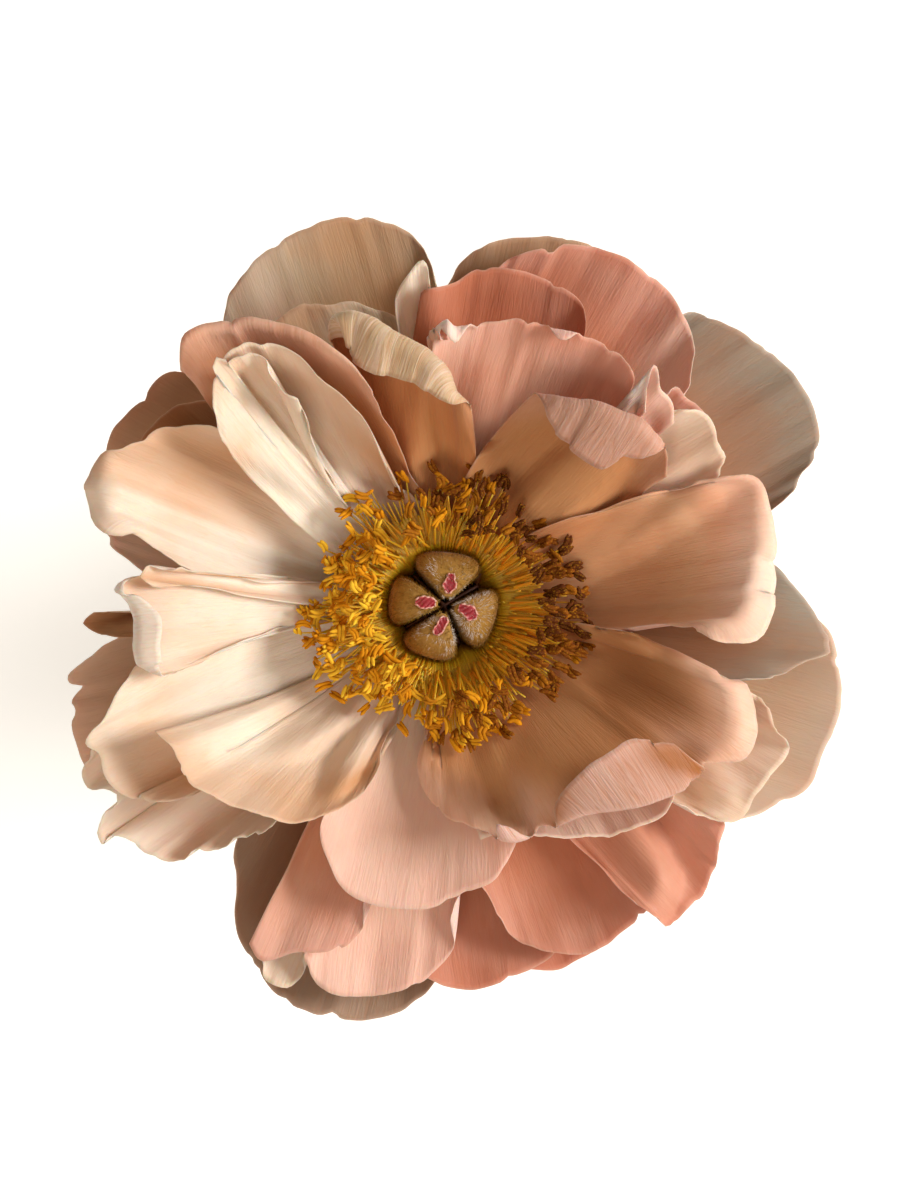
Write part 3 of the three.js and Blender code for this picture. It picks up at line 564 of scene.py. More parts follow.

# The petals from the outermost to the innermost, in the order in which they lie on one another. Each rim
# runs clockwise as seen from above, in the bloom's frame. A lip is a stretch of rim that rolls on: (share of
# the rim, width) pairs, and the angle it turns through, inwards if positive. folds are lengthwise: (share
# across, width as a share, height). wave is the rim's ruffle: height and how many waves. The colour's depth
# at root and rim runs from -1 to 1; it is partly the petal's own colour and partly painted shade (towards 1)
# and painted light (towards -1). Bands across add to it, as (share, amount) pairs, and spots add to it, as
# (share across, reach, size, amount); both are partly the petal's own flush and partly painted shade and
# light. waist and bulge take the place of WAIST and BULGE, cup of CUP's height, rise and flare of the whorl's
# slopes; a pair of them is for the two sides of the petal. ragged is how much of the rim's scallops and nicks
# the petal has.
PETALS = {
    "back_n": dict(
        whorl="guard", skin="beige", wave=(0.4, 2.6), depth_and_painted_light=(0.3, 0.5),
        rim=[(0, 70, -2), (2, 73, -1), (5, 77, 0), (10, 81, 0), (17, 83, -1), (25, 83, -2), (34, 81, -3),
             (40, 77, -4)]),
    "back_ne": dict(
        whorl="guard", skin="grey", wave=(0.6, 3.4), depth_and_painted_light=(0.5, 0.05),
        rim=[(53, 63, 4), (56, 65, 3), (63, 64, 3), (72, 59, 2), (81, 50, 0), (85, 42, -2), (84, 33, -4),
             (80, 27, -5), (74, 21, -4)]),
    "back_ese": dict(
        whorl="guard", skin="beige", wave=(0.4, 3), depth_and_painted_light=(0.4, -0.35),
        rim=[(81, 1, 4), (87, -5, 4), (90, -14, 3), (90, -22, 1), (87, -32, -1), (82, -41, -3),
             (74, -46, -4), (68, -47, -2)]),
    "back_s": dict(
        whorl="guard", skin="coral", wave=(0.3, 2), depth_and_painted_light=(0.4, 0.6),
        rim=[(40, -73, -4), (33, -79, -5), (24, -82, -5), (18, -81, -4), (14, -77, -3)]),
    "back_ssw": dict(
        whorl="guard", skin="grey", wave=(0.4, 3), depth_and_painted_light=(0.4, 0.5), bulge=8,
        rim=[(2, -81, -3), (-3, -87, -4), (-11, -92, -4), (-21, -93, -3), (-33, -90, -2), (-41, -82, 0),
             (-46, -72, 1), (-46, -62, 2), (-45, -53, 3), (-41, -47, 4)]),
    "back_wsw": dict(
        whorl="guard", skin="tan", wave=(0.3, 3), depth_and_painted_light=(0, -0.35),
        rim=[(-76, -41, 0), (-81, -34, 0), (-83, -27, 1), (-83, -22, 1), (-80, -18, 1), (-83.5, -17.5, 2),
             (-84, -16, 3), (-78, -11, 4), (-71, -6, 5)]),
    "back_w": dict(
        whorl="guard", skin="tan", waist=8, bulge=0, cup=0,
        rim=[(-72, -7, 4), (-77, -6, 3), (-80, -4, 3), (-78, -2, 4), (-72, -1, 5)]),
    "back_wnw": dict(
        whorl="guard", skin="tan", wave=(0.3, 2.4), depth_and_painted_light=(-0.1, -0.15), flush_and_light_spots=[(0.1, 0.9, 0.25, -0.5)],
        rim=[(-63, 6, 4), (-69, 9, 3), (-75, 15, 2), (-76, 24, 1), (-76, 32, 1), (-73, 40, 2), (-68, 46, 3),
             (-62, 52, 3), (-56, 53, 2), (-49, 51, 2)]),
    "back_nnw": dict(
        whorl="guard", skin="beige", wave=(0.3, 2.4), depth_and_painted_light=(0.35, 0.15),
        flush_and_light_spots=[(0.6, 0.9, 0.25, 0.4), (0.15, 0.7, 0.3, -0.8)],
        rim=[(-49, 62, 0), (-48, 69, 2), (-44, 75, 4), (-36, 82, 3), (-25, 87, 1), (-15, 87, -1),
             (-7, 84, -3), (-2, 77, -3), (0, 71, -2)]),
    "coral_nne": dict(
        whorl="third", skin="coral", wave=(0.7, 3), depth_and_painted_light=(0.8, 0.15),
        flush_and_light_spots=[(0.2, 0.8, 0.2, 0.5), (0.88, 0.8, 0.25, -0.9)], folds=[(0.42, 0.08, 1.0)],
        rim=[(14, 74, 7), (17, 79, 8), (24, 81, 8), (33, 81, 7), (41, 79, 6), (48, 74, 5), (54, 67, 5),
             (57, 60, 6), (57, 53, 8), (54, 47, 10)]),
    "east": dict(
        whorl="third", skin="grey", wave=(0.3, 2), depth_and_painted_light=(0.9, -0.05), flush_and_light_spots=[(0.5, 0.6, 0.3, 0.5)],
        rise=4, flare=8,
        rim=[(74, 10, 19), (78, 7, 19), (82, 2, 18), (86, -5, 18), (88, -10, 18), (82, -13, 19),
             (75, -16, 20), (69, -17, 21)]),
    "coral_sss": dict(
        whorl="third", skin="coral", wave=(0.3, 2), depth_and_painted_light=(0.4, 0.4),
        rim=[(29, -74, 3), (24, -80, 2), (17, -83, 2), (9, -86, 2), (2, -86, 2), (-3, -84, 3), (-6, -79, 4)]),
    "pale_tip": dict(
        whorl="third", skin="cream", waist=7, bulge=2, cup=0,
        rim=[(-30.5, -79, 4), (-31.5, -83, 4), (-34, -85.5, 4), (-37, -85, 4), (-39.5, -83, 4),
             (-40, -80, 4)]),
    "pink_ssw": dict(
        whorl="third", skin="blush", wave=(0.5, 3), flare=8, cup=(0.5, 3), depth_and_painted_light=(-0.15, -0.2),
        rim=[(5, -63, 8), (3, -70, 7), (2, -78, 6), (-3, -84, 5), (-11, -87, 5), (-19, -88, 5),
             (-27, -86, 6), (-30, -81, 7), (-30, -75, 8)]),
    "coral_ssw": dict(
        whorl="third", skin="coral", wave=(0.3, 2), depth_and_painted_light=(0.1, 0.0), bulge=8, flare=0, cup=(0, 4),
        rim=[(-17, -67, 12), (-17.5, -72, 11), (-22, -77, 10), (-32, -78, 9), (-40, -80, 8), (-43, -76, 9)]),
    "coral_s": dict(
        whorl="third", skin="coral", wave=(0.5, 2.6), depth_and_painted_light=(0.6, 0.35), folds=[(0.25, 0.09, 0.9)],
        rim=[(48, -59, 12), (47, -68, 10), (41, -74, 8), (33, -78, 7), (24, -78, 6), (18, -75, 6),
             (13, -70, 7), (9, -63, 9), (9, -58, 11)]),
    "coral_se": dict(
        whorl="third", skin="blush", wave=(0.7, 3), depth_and_painted_light=(0.4, 0.3),
        depth_and_light_bands=[(0, -0.1), (0.25, 0.0), (0.45, 0.25), (1, 0.3)], folds=[(0.6, 0.14, 0.9)],
        rim=[(65, -44, 14), (63, -50, 12), (63, -56, 10), (60, -63, 8), (56, -69, 7), (52, -72, 7),
             (48, -69, 9), (43, -66, 12)]),
    "beige_nnw": dict(
        whorl="second", skin="beige", wave=(0.3, 2), depth_and_painted_light=(0.3, 0.05),
        rim=[(-43, 60, 16), (-36, 65, 18), (-30, 68, 19), (-24, 68, 19), (-17, 68, 18), (-10, 65, 17)]),
    "pale_flap": dict(
        whorl="second", skin="cream", depth_and_painted_light=(-0.5, -0.9), waist=8, bulge=4, cup=0.5,
        rim=[(-10, 66, 20), (-9.5, 71, 22), (-7, 75, 24), (-4, 77.5, 26), (-2.5, 74, 25), (-1.8, 70, 23),
             (-1.5, 63, 20)]),
    "coral_n": dict(
        whorl="second", skin="coral", wave=(0.3, 2.4), depth_and_painted_light=(1.0, 0.75), flush_and_light_spots=[(0.85, 0.9, 0.15, -0.3)],
        rim=[(-5, 66, 20), (-4, 71, 22), (3.5, 72.5, 21), (10, 76, 20), (18.5, 75.5, 19), (27, 72, 18),
             (32, 68, 18), (33, 64, 19)]),
    "cream_ese": dict(
        whorl="second", skin="cream", depth_and_painted_light=(0.3, 0.1), wave=(0.8, 3),
        rim=[(72, -21, 20), (76, -27, 19), (78, -31, 18), (76, -36, 17), (72, -42, 17), (68, -47, 16),
             (63, -49, 16), (58, -47, 17), (54, -44, 18)]),
    "sw_ruffled": dict(
        whorl="second", skin="cream", wave=(1.1, 4.5), depth_and_painted_light=(0.0, -0.7),
        folds=[(0.35, 0.08, -2.5), (0.6, 0.06, 1.8)],
        depth_and_light_bands=[(0, 0), (0.33, 0.6), (0.45, -0.1), (0.62, 0.5), (0.8, 0), (1, 0.3)],
        rim=[(-38, -49, 18), (-45, -53, 15), (-53, -54, 13), (-59, -56, 12), (-66, -55, 12), (-70, -53, 14),
             (-76, -54, 13), (-77, -50, 15), (-74, -44, 18), (-79, -40, 16), (-80, -36, 16), (-78, -31, 18)]),
    "tan_nw": dict(
        whorl="second", skin="tan", wave=(0.3, 2),
        rim=[(-68, 35, 20), (-67, 38, 21), (-62, 43, 22), (-56, 46, 23), (-51, 47, 24), (-44, 46, 24)]),
    "pink_s": dict(
        whorl="inner", skin="blush", wave=(0.12, 2), ragged=0.45, depth_and_painted_light=(-0.3, -0.2), flare=14, cup=(1.5, 4),
        rim=[(18, -50, 18), (16, -56, 18), (12, -62, 18), (4, -65, 17), (-3, -68, 16), (-12, -68, 16),
             (-20, -65, 17), (-25, -58, 19), (-27, -50, 20), (-22, -41, 20)]),
    "se_back_lip": dict(
        whorl="inner", skin="peach", wave=(0.3, 3), depth_and_painted_light=(0.0, -0.6),
        rim=[(53, -41, 27), (51, -46, 27), (45, -50, 26), (36, -52, 25), (26, -52, 25), (17, -51, 25),
             (9, -52, 25)]),
    "north": dict(
        whorl="inner", skin="blush", wave=(0.5, 3), flare=40, waist=34, depth_and_painted_light=(0.1, 0.45),
        flush_and_light_spots=[(0.2, 0.95, 0.15, -0.9), (0.75, 0.8, 0.25, -0.2)],
        folds=[(0.12, 0.05, 2.0), (0.3, 0.05, -1)],
        lips=[([(0.0, 0), (0.05, 7), (0.1, 7), (0.13, 3), (0.17, 8), (0.24, 7), (0.3, 0)], 150),
              ([(0.55, 0), (0.6, 6), (0.64, 5.5), (0.68, 0)], 150)],
        rim=[(-2, 55, 28), (-3, 61, 30), (1, 64, 31), (3, 62, 29), (8, 63, 30), (15, 64, 31), (20, 65, 31),
             (27, 61, 30), (34, 60, 30), (40, 57, 31), (44, 52, 32), (42, 47, 31)]),
    "nnw_lip": dict(
        whorl="inner", skin="fawn", wave=(0.4, 3), waist=30, depth_and_painted_light=(-0.1, 0.1),
        lips=[([(0.0, 6), (0.12, 10), (0.35, 14), (0.55, 12.5), (0.75, 10), (0.9, 6), (0.97, 3),
                (1.0, 0)], 140)],
        rim=[(-25, 59, 31), (-25, 64, 32), (-20, 66, 33), (-15, 65, 34), (-9, 61, 35), (-3, 58, 36),
             (1, 54, 36), (4, 49, 34), (7, 45, 30)]),
    "nw_back": dict(
        whorl="inner", skin="amber", wave=(0.3, 2), depth_and_painted_light=(-0.15, 0.1),
        lips=[([(0.0, 2), (0.3, 3.5), (0.7, 3), (1.0, 1)], -110)],
        rim=[(-57, 52, 28), (-57, 55, 29), (-56, 60, 31), (-51, 61, 32), (-43, 62, 33), (-35, 61, 34),
             (-27, 58, 35), (-21, 54, 36), (-15, 48, 34)]),
    "ne_pink": dict(
        whorl="inner", skin="coral", wave=(0.3, 2), flare=30, waist=10,
        rim=[(50.5, 46, 25), (53, 49, 26), (56, 46.8, 26), (59.5, 44, 26), (60.5, 41, 25)]),
    "ne_small": dict(
        whorl="inner", skin="cream", wave=(0.5, 3), flare=35, waist=14, depth_and_painted_light=(0.3, -0.1),
        folds=[(0.3, 0.1, -1.5)],
        rim=[(52, 42, 27), (53, 44, 28), (56.2, 44.2, 29), (60.3, 41.7, 29), (62.4, 38.3, 28),
             (63.8, 34.2, 27), (62.8, 29.3, 26), (58, 25, 25)]),
    "ne_spike": dict(
        whorl="inner", skin="blush", wave=(0.2, 1), flare=45, waist=8, bulge=6, ragged=0.3,
        folds=[(0.62, 0.1, 1.5)], depth_and_painted_light=(0.3, -0.3),
        rim=[(46, 43.5, 33), (46.8, 49, 35), (48.3, 54.4, 38), (50.7, 49.3, 35), (52.4, 45.2, 33),
             (52.3, 41, 31)]),
    "ne_lip": dict(
        whorl="inner", skin="amber", wave=(0.12, 1), ragged=0.4, waist=34, bulge=(36, 20), depth_and_painted_light=(0.25, 0.5),
        lips=[([(0.0, 2), (0.07, 5), (0.22, 12), (0.37, 16), (0.52, 17.5), (0.66, 12), (0.76, 6),
                (0.8, 0)], 140)],
        rim=[(21, 48, 30), (27, 47, 33), (34, 46, 35), (40, 44, 36), (45, 42, 36), (49.5, 37.5, 34),
             (51, 34, 30), (50, 29, 27)]),
    "w_nw": dict(
        whorl="inner", skin="cream", wave=(0.6, 3), flare=40, cup=(3, -1.5),
        flush_and_light_spots=[(0.78, 0.72, 0.16, 0.4)], folds=[(0.43, 0.05, 1.8), (0.8, 0.12, -1.5)],
        depth_and_light_bands=[(0, -0.2), (0.38, -0.4), (0.47, 0.5), (0.8, 0.4), (1, 0.2)],
        lips=[([(0.14, 0), (0.25, 6), (0.42, 7), (0.52, 4), (0.58, 0)], -75)],
        rim=[(-59, 9, 26), (-65, 15, 29), (-69, 18, 30), (-73, 21, 31), (-74, 25, 32), (-74, 30, 32),
             (-72, 35, 33), (-67, 38, 33), (-59, 39, 33), (-53, 40, 34), (-48, 39, 33)]),
    "nw_folded": dict(
        whorl="inner", skin="cream", wave=(0.2, 3), depth_and_painted_light=(0.1, 0.1), flush_and_light_spots=[(0.72, 0.6, 0.3, 0.85)],
        rim=[(-48, 37, 31), (-49, 44, 34), (-49, 50, 37), (-49, 56, 39), (-46, 58.5, 40), (-40, 59.3, 40),
             (-32, 56.3, 40), (-26.4, 51.4, 39), (-21.5, 47.2, 37), (-15.4, 38.2, 30), (-11.3, 30.4, 21),
             (-8.9, 25.4, 13)]),
    "nw_front": dict(
        whorl="inner", skin="cream", wave=(0.5, 3), waist=16, bulge=(26, -34), cup=0,
        flush_and_light_spots=[(0.6, 0.75, 0.25, 0.2)], folds=[(0.3, 0.12, -2), (0.85, 0.1, 2.4)],
        rim=[(-49, 37, 30), (-50, 44, 33), (-49.5, 50, 35), (-50, 55, 37), (-48, 53, 37), (-46, 55, 38),
             (-42, 56.5, 40), (-39, 56, 40), (-37, 52.5, 40), (-34, 49, 39), (-31, 48, 38), (-30, 42.5, 35)]),
    "wsw": dict(
        whorl="inner", skin="cream", wave=(0.4, 3), flare=30, cup=(3.2, -1.5), rise=16,
        folds=[(0.36, 0.1, -3), (0.75, 0.1, 1.5)],
        flush_and_light_spots=[(0.3, 0.85, 0.16, 0.75), (0.6, 0.55, 0.2, -0.5), (0.1, 0.8, 0.1, 0.3)],
        rim=[(-52, -41, 22), (-60, -44, 25), (-69, -42, 27), (-74, -39, 28), (-77, -33, 29), (-80, -31, 30),
             (-77, -25, 30), (-72, -19, 30), (-68, -14, 29)]),
    "west": dict(
        whorl="inner", skin="cream", wave=(0.3, 2), rise=10, flare=20, cup=(2, -0.5), waist=12,
        bulge=(-14, 12), flush_and_light_spots=[(0.45, 0.83, 0.1, 0.3), (0.45, 0.97, 0.12, -0.7)],
        lips=[([(0.0, 0), (0.12, 4), (0.3, 10), (0.55, 11), (0.8, 8), (0.92, 4), (1.0, 0)], 152)],
        rim=[(-57, -14, 27), (-62, -15, 29), (-66, -13, 30), (-67, -10, 31), (-67, -6, 31), (-68, -1, 31),
             (-70, 3, 32), (-72, 5, 33), (-67, 7, 33)]),
    "w_narrow": dict(
        whorl="inner", skin="cream", waist=8, bulge=10, folds=[(0.5, 0.16, -1.6)], ragged=0.4,
        flush_and_light_spots=[(0.7, 0.7, 0.2, 0.4)],
        depth_and_light_bands=[(0, 0.1), (0.3, 0.7), (0.45, -0.3), (0.6, -0.2), (0.75, 0.8), (1, 0)],
        rim=[(-64.5, 5, 33), (-67.5, 6.6, 35), (-64, 7.8, 36), (-58, 8.6, 35)]),
    "east_big": dict(
        whorl="inner", skin="peach", depth_and_painted_light=(1.0, -0.2), wave=(0.3, 3), flare=34,
        flush_and_light_spots=[(0.15, 0.45, 0.25, 0.4), (0.55, 0.62, 0.2, 0.3), (0.62, 0.94, 0.2, -0.5)],
        lips=[([(0.0, 1), (0.3, 3), (0.45, 4), (0.6, 7), (0.8, 8), (0.95, 6), (1.0, 3)], -62)],
        rim=[(57, 28, 26), (64, 28.5, 28), (70, 27.5, 28), (71, 23, 28), (71.5, 15, 28), (69.5, 8, 29),
             (68.5, 2, 31), (66.5, -2.5, 33), (62, -4, 34), (56, -4.5, 32)]),
    "se_big": dict(
        whorl="inner", skin="amber", wave=(0.3, 4), waist=34, bulge=20, depth_and_painted_light=(0.35, 0.0), flare=24,
        flush_and_light_spots=[(0.2, 0.6, 0.2, 0.6), (0.1, 0.85, 0.1, -0.3), (0.4, 0.9, 0.15, 0.3),
                 (0.3, 0.95, 0.08, 0.9), (0.57, 1.0, 0.07, 0.8)],
        lips=[([(0.0, 3), (0.1, 7), (0.2, 7), (0.24, 2), (0.25, 0)], -62),
              ([(0.27, 0), (0.285, 10), (0.32, 17), (0.38, 20), (0.46, 17.5), (0.52, 13), (0.57, 9),
                (0.63, 0)], 140),
              ([(0.66, 0), (0.685, 8), (0.73, 9.5), (0.76, 0)], 150)],
        rim=[(59, -14.5, 25), (63, -16.5, 28), (65.5, -20, 29), (66, -25, 30), (64.5, -30, 30),
             (61.5, -33, 30), (60, -35.5, 31), (58, -37, 32), (52, -41, 34), (45, -44, 35), (37, -45, 34),
             (30, -46, 31), (22, -50, 26), (15, -51, 22.5), (7, -50, 19.5), (0, -46, 16.5), (-4, -41, 14),
             (-5, -36, 12)]),
    "sw_cup": dict(
        whorl="inner", skin="cream", wave=(0.3, 3), bulge=(24, -16), flare=50, cup=(3.2, -2),
        depth_and_painted_light=(0.15, 0.45), flush_and_light_spots=[(0.86, 0.75, 0.14, -0.8), (0.22, 0.8, 0.16, 0.6)],
        folds=[(0.8, 0.06, -1.8), (0.93, 0.05, 2.2)],
        rim=[(-14.5, -37, 19), (-17, -42, 22), (-21, -45, 24), (-30, -48, 27), (-39, -48, 29),
             (-48, -44, 31), (-57, -38, 34), (-62, -32, 36), (-64, -28, 37)]),
}


def lip_of(plan, share):
    """How far each rib runs on past the rim, and the angle it turns through."""
    width, turn = np.zeros_like(share), np.ones_like(share)
    for stations, degrees in plan.get("lips", []):
        reached = np.interp(share, *zip(*stations), left=0, right=0)
        reached = np.convolve(np.pad(reached, 1, mode="edge"), [0.25, 0.5, 0.25], "valid")
        turn = np.where(reached > width, math.radians(degrees), turn)
        width = np.maximum(reached, width)
    return width, turn


def ragged(rim, root, place, plan, draw):
    """Makes a rim's outline uneven: shallow scallops and a few small nicks. place is the way along it."""
    outward = unit(rim[:, :2] - root[:, :2])
    uneven = np.zeros_like(place)
    for _ in range(SCALLOPS):
        length, phase = draw.uniform(*SCALLOP_LENGTH), draw.uniform(0, WHOLE_TURN)
        uneven += SCALLOP_DEPTH * length**0.7 * np.sin(2 * np.pi * place / length + phase)
    for _ in range(int(place[-1] / NICK_GAP)):
        nick, width = draw.uniform(4, place[-1] - 4), draw.uniform(*NICK_WIDTH)
        uneven -= draw.uniform(*NICK_DEPTH) * np.exp(-((place - nick) / width) ** 2)
    held = np.interp(place / place[-1], [0, 0.08, 0.92, 1], [0, 1, 1, 0])
    rim[:, :2] += outward * (plan.get("ragged", 1.0) * uneven * held)[:, None]


def pair(value):
    """One value for each side of a petal."""
    return value if isinstance(value, tuple) else (value, value)


def petal_grid(plan, seed):
    """A petal's middle surface from root to rim, its points past the rim, and its length and width."""
    radius, height, rise, flare = (float(v) for v in WHORLS[plan["whorl"]])
    rise, flare = plan.get("rise", rise), plan.get("flare", flare)
    _, rim_length = spline(plan["rim"], 2)
    columns = max(int(rim_length / CELL_ACROSS), 16)
    rim, _ = spline(plan["rim"], columns + 1)
    rim[:, :2] *= 1 + (STAMEN_HEIGHT - rim[:, 2:]) / CAMERA_HEIGHT
    share = np.linspace(0, 1, columns + 1)
    side = 1 - 2 * share
    middle = rim[:, :2].mean(0)
    azimuth = math.atan2(middle[1], middle[0]) + math.radians(plan.get("waist", WAIST)) * side
    root = np.stack([radius * np.cos(azimuth), radius * np.sin(azimuth), np.full_like(azimuth, height)], 1)
    ragged(rim, root, share * rim_length, plan, random.Random(seed))
    reach = np.linalg.norm(rim - root, axis=1)
    heading = np.arctan2(rim[:, 1] - root[:, 1], rim[:, 0] - root[:, 0])
    first, last = pair(plan.get("bulge", BULGE))
    swell = np.radians(np.where(side > 0, first, last)) * side

    def slope(turn, degrees):
        """The ribs' directions, turned sideways and lifted by so many degrees."""
        lift = math.radians(degrees)
        flat = math.cos(lift)
        return np.stack([np.cos(heading + turn) * flat, np.sin(heading + turn) * flat,
                         np.full_like(heading, math.sin(lift))], 1)

    leave, arrive = slope(swell, rise), slope(-0.6 * swell, flare)
    width, turn = lip_of(plan, share)
    rows = max(int((reach.mean() + width.max()) / CELL_ALONG), 16)
    inward = unit(np.cross(np.gradient(rim, axis=0), arrive)) * np.sign(turn)[:, None]
    turn = np.abs(turn)
    along = np.linspace(0, 1, rows + 1)[:, None] * (1 + width / reach)
    s = np.minimum(along, 1.0)[..., None]
    grid = ((2 * s**3 - 3 * s**2 + 1) * root + (s**3 - 2 * s**2 + s) * leave * reach[:, None]
            + (3 * s**2 - 2 * s**3) * rim + (s**3 - s**2) * arrive * reach[:, None])
    past = np.maximum(along - 1, 0) * reach
    angle = np.minimum(past / LIP_ROLL, turn)
    straight = np.maximum(past - LIP_ROLL * turn, 0)
    grid += arrive * (LIP_ROLL * np.sin(angle) + straight * np.cos(turn))[..., None]
    grid += inward * (LIP_ROLL * (1 - np.cos(angle)) + straight * np.sin(turn))[..., None]
    return grid + pleats(plan, grid, along > 1, rim_length, seed), along > 1, reach.mean(), rim_length


def pleats(plan, grid, past_rim, rim_length, seed):
    """How far each point moves off the smooth petal: cupped sides, folds, soft waves and a ruffled rim."""
    draw = random.Random(seed)
    rows, columns = grid.shape[:2]
    share = np.linspace(0, 1, columns)[None, :]
    reach = np.linspace(0, 1, rows)[:, None]
    normal = unit(np.cross(np.gradient(grid, axis=1), np.gradient(grid, axis=0)))
    first, last = pair(plan.get("cup", CUP[plan["whorl"]]))
    lift = np.where(share < 0.5, first, last) * np.abs(2 * share - 1) ** 2.2 * np.sin(np.pi * reach**0.9)
    for centre, width, height in plan.get("folds", []):
        lift = lift + height * np.exp(-((share - centre) / width) ** 2) * np.minimum(reach * 1.7, 1) ** 2
    across = share * rim_length
    for _ in range(SOFT_WAVES):
        length, phase = draw.uniform(*SOFT_WAVE_LENGTH), draw.uniform(0, WHOLE_TURN)
        height = SOFT_WAVE_SLOPE[plan["whorl"]] * length * draw.uniform(0.4, 1.0)
        lean = draw.uniform(-1.5, 1.5)
        lift = lift + height * np.sin(2 * np.pi * across / length + lean * reach + phase) * reach**1.3
    sides = np.abs(2 * share - 1) ** 5 * np.minimum(reach * 2, 1)
    for length in SIDE_WAVES:
        phase = draw.uniform(0, WHOLE_TURN)
        wave = np.sin(2 * np.pi * reach / length + phase + 3 * share)
        lift = lift + SIDE_WAVE_HEIGHT * length * sides * wave
    lift = lift * np.where(past_rim, LIP_SHARE, 1.0)
    height, waves = plan.get("wave", (0.3, 2))
    for strength, factor in RUFFLES:
        phase = draw.uniform(0, WHOLE_TURN)
        lift = lift + height * strength * np.sin(2 * np.pi * waves * factor * share + phase) * reach**4
    return normal * lift[..., None]


BED_HALF = 110  # the bed of petals laid so far is a square of 1 mm cells, this far each way
BED_DEPTH = -60.0
CLEAR_AT, CLEARANCE = (9, 24), (0.25, 0.8)  # radii, and how far above the bed a petal stays there


def cell_of(points):
    """The bed's row and column at each point."""
    cell = np.clip(np.rint(points[..., :2]) + BED_HALF, 0, 2 * BED_HALF).astype(int)
    return cell[..., 1], cell[..., 0]


def nearby(values, reach, measure):
    """A measure, such as the mean, of the values within so many grid lines of each point."""
    high, wide = values.shape
    padded = np.pad(values, reach, mode="edge")
    steps = range(0, 2 * reach + 1)
    return measure([padded[i:i + high, j:j + wide] for i in steps for j in steps], axis=0)


def lay(grid, past_rim, bed):
    """Raises a petal where it would cut through the ones under it, then adds it to the bed."""
    clearance = np.interp(np.hypot(grid[..., 0], grid[..., 1]), CLEAR_AT, CLEARANCE)
    lift = np.maximum(bed[cell_of(grid)] + clearance - grid[..., 2], 0)
    for row in range(1, len(lift)):
        lift[row] = np.where(past_rim[row], lift[row - 1], lift[row])
    lift = nearby(nearby(lift, 2, np.max), 2, np.mean)
    laid = grid + lift[..., None] * np.array([0, 0, 1.0])
    fine = np.where(past_rim[..., None], np.nan, laid)
    for _ in range(2):
        between = np.empty((2 * fine.shape[0] - 1, 2 * fine.shape[1] - 1, 3))
        between[::2, ::2] = fine
        between[1::2, ::2] = (fine[1:] + fine[:-1]) / 2
        between[:, 1::2] = (between[:, 2::2] + between[:, :-1:2]) / 2
        fine = between
    fine = fine.reshape(-1, 3)
    fine = fine[~np.isnan(fine[:, 2])]
    np.maximum.at(bed, cell_of(fine), fine[:, 2])
    return laid


def depth_and_painted_light_of(plan, share, reach):
    """How far each point's colour goes towards the darkest (1) or the bleached colour (-1): partly the
    petal's own colour, partly painted shade and painted light.
    """
    root, rim = plan.get("depth_and_painted_light", (0, 0))
    depth_and_painted_light = root + (rim - root) * reach
    if "depth_and_light_bands" in plan:
        depth_and_painted_light = depth_and_painted_light + np.interp(share, *zip(*plan["depth_and_light_bands"])) * np.minimum(reach * 1.6, 1)
    for centre, level, size, amount in plan.get("flush_and_light_spots", []):
        depth_and_painted_light = depth_and_painted_light + amount * np.exp(-((share - centre) / size) ** 2 - ((reach - level) / size) ** 2)
    return np.clip(depth_and_painted_light, -1, 1)


FIRST_SEED = 100
GRAIN_SHIFT = 37.0  # from one petal's grain to the next one's, so that no two are alike
THIN_EDGE, EDGE_WIDTH = 0.45, 4.0  # a petal's thickness at its edge, as a share, and how far in it is full


def petals(skins):
    """Every petal as a thin closed sheet, laid from the outermost inwards."""
    bed = np.full((2 * BED_HALF + 1, 2 * BED_HALF + 1), BED_DEPTH)
    for number, (name, plan) in enumerate(PETALS.items()):
        grid, past_rim, length, width = petal_grid(plan, FIRST_SEED + number)
        grid = lay(grid, past_rim, bed)
        rows, columns = grid.shape[:2]
        share = np.linspace(0, 1, columns)[None, :] * np.ones((rows, 1))
        reach = np.linspace(0, 1, rows)[:, None] * np.ones((1, columns))
        sides = np.minimum(share, 1 - share) * width * (0.25 + 0.75 * reach)
        edge = np.minimum(sides, (1 - reach) * length)
        half_thickness = PETAL_HALF * (THIN_EDGE + (1 - THIN_EDGE) * np.minimum(edge / EDGE_WIDTH, 1))
        vertices, faces, underside = sheet(grid, half_thickness)
        uv = np.stack([share * width, reach * length], -1).reshape(-1, 2) + number * GRAIN_SHIFT
        fields = {"reach": both(reach), "edge": both(edge), "underside": underside,
                  "depth_and_painted_light": both(depth_and_painted_light_of(plan, share, reach))}
        piece_from("petal_" + name, vertices, faces, skins[plan["skin"]], fields, np.tile(uv, (2, 1)),
                   node="petals")


COLLAR = [(6.7, -0.6), (6.5, -5), (5.8, -9.1), (6.7, -9.3), (7.6, -9.1), (9.4, -5), (10.2, -2.4),
          (10.2, -1.0), (9.6, -0.6), (6.7, -0.6)]  # radius, height
RING_SIDES = 72


def petal_collar(skin):
    """The ring of claws that the petals grow from, round the receptacle."""
    vertices, faces = turned_form(COLLAR, RING_SIDES)
    even = {"reach": 0.05, "edge": 5.0, "underside": 0.0, "depth_and_painted_light": 0.3}
    fields = {key: [value] * len(vertices) for key, value in even.items()}
    uv = [(math.atan2(y, x) * 10, z) for x, y, z in vertices]
    piece_from("petal_collar", vertices, faces, skin, fields, uv)


# ---------------------------------------------------------------- stamens and carpels

STAMENS = 350
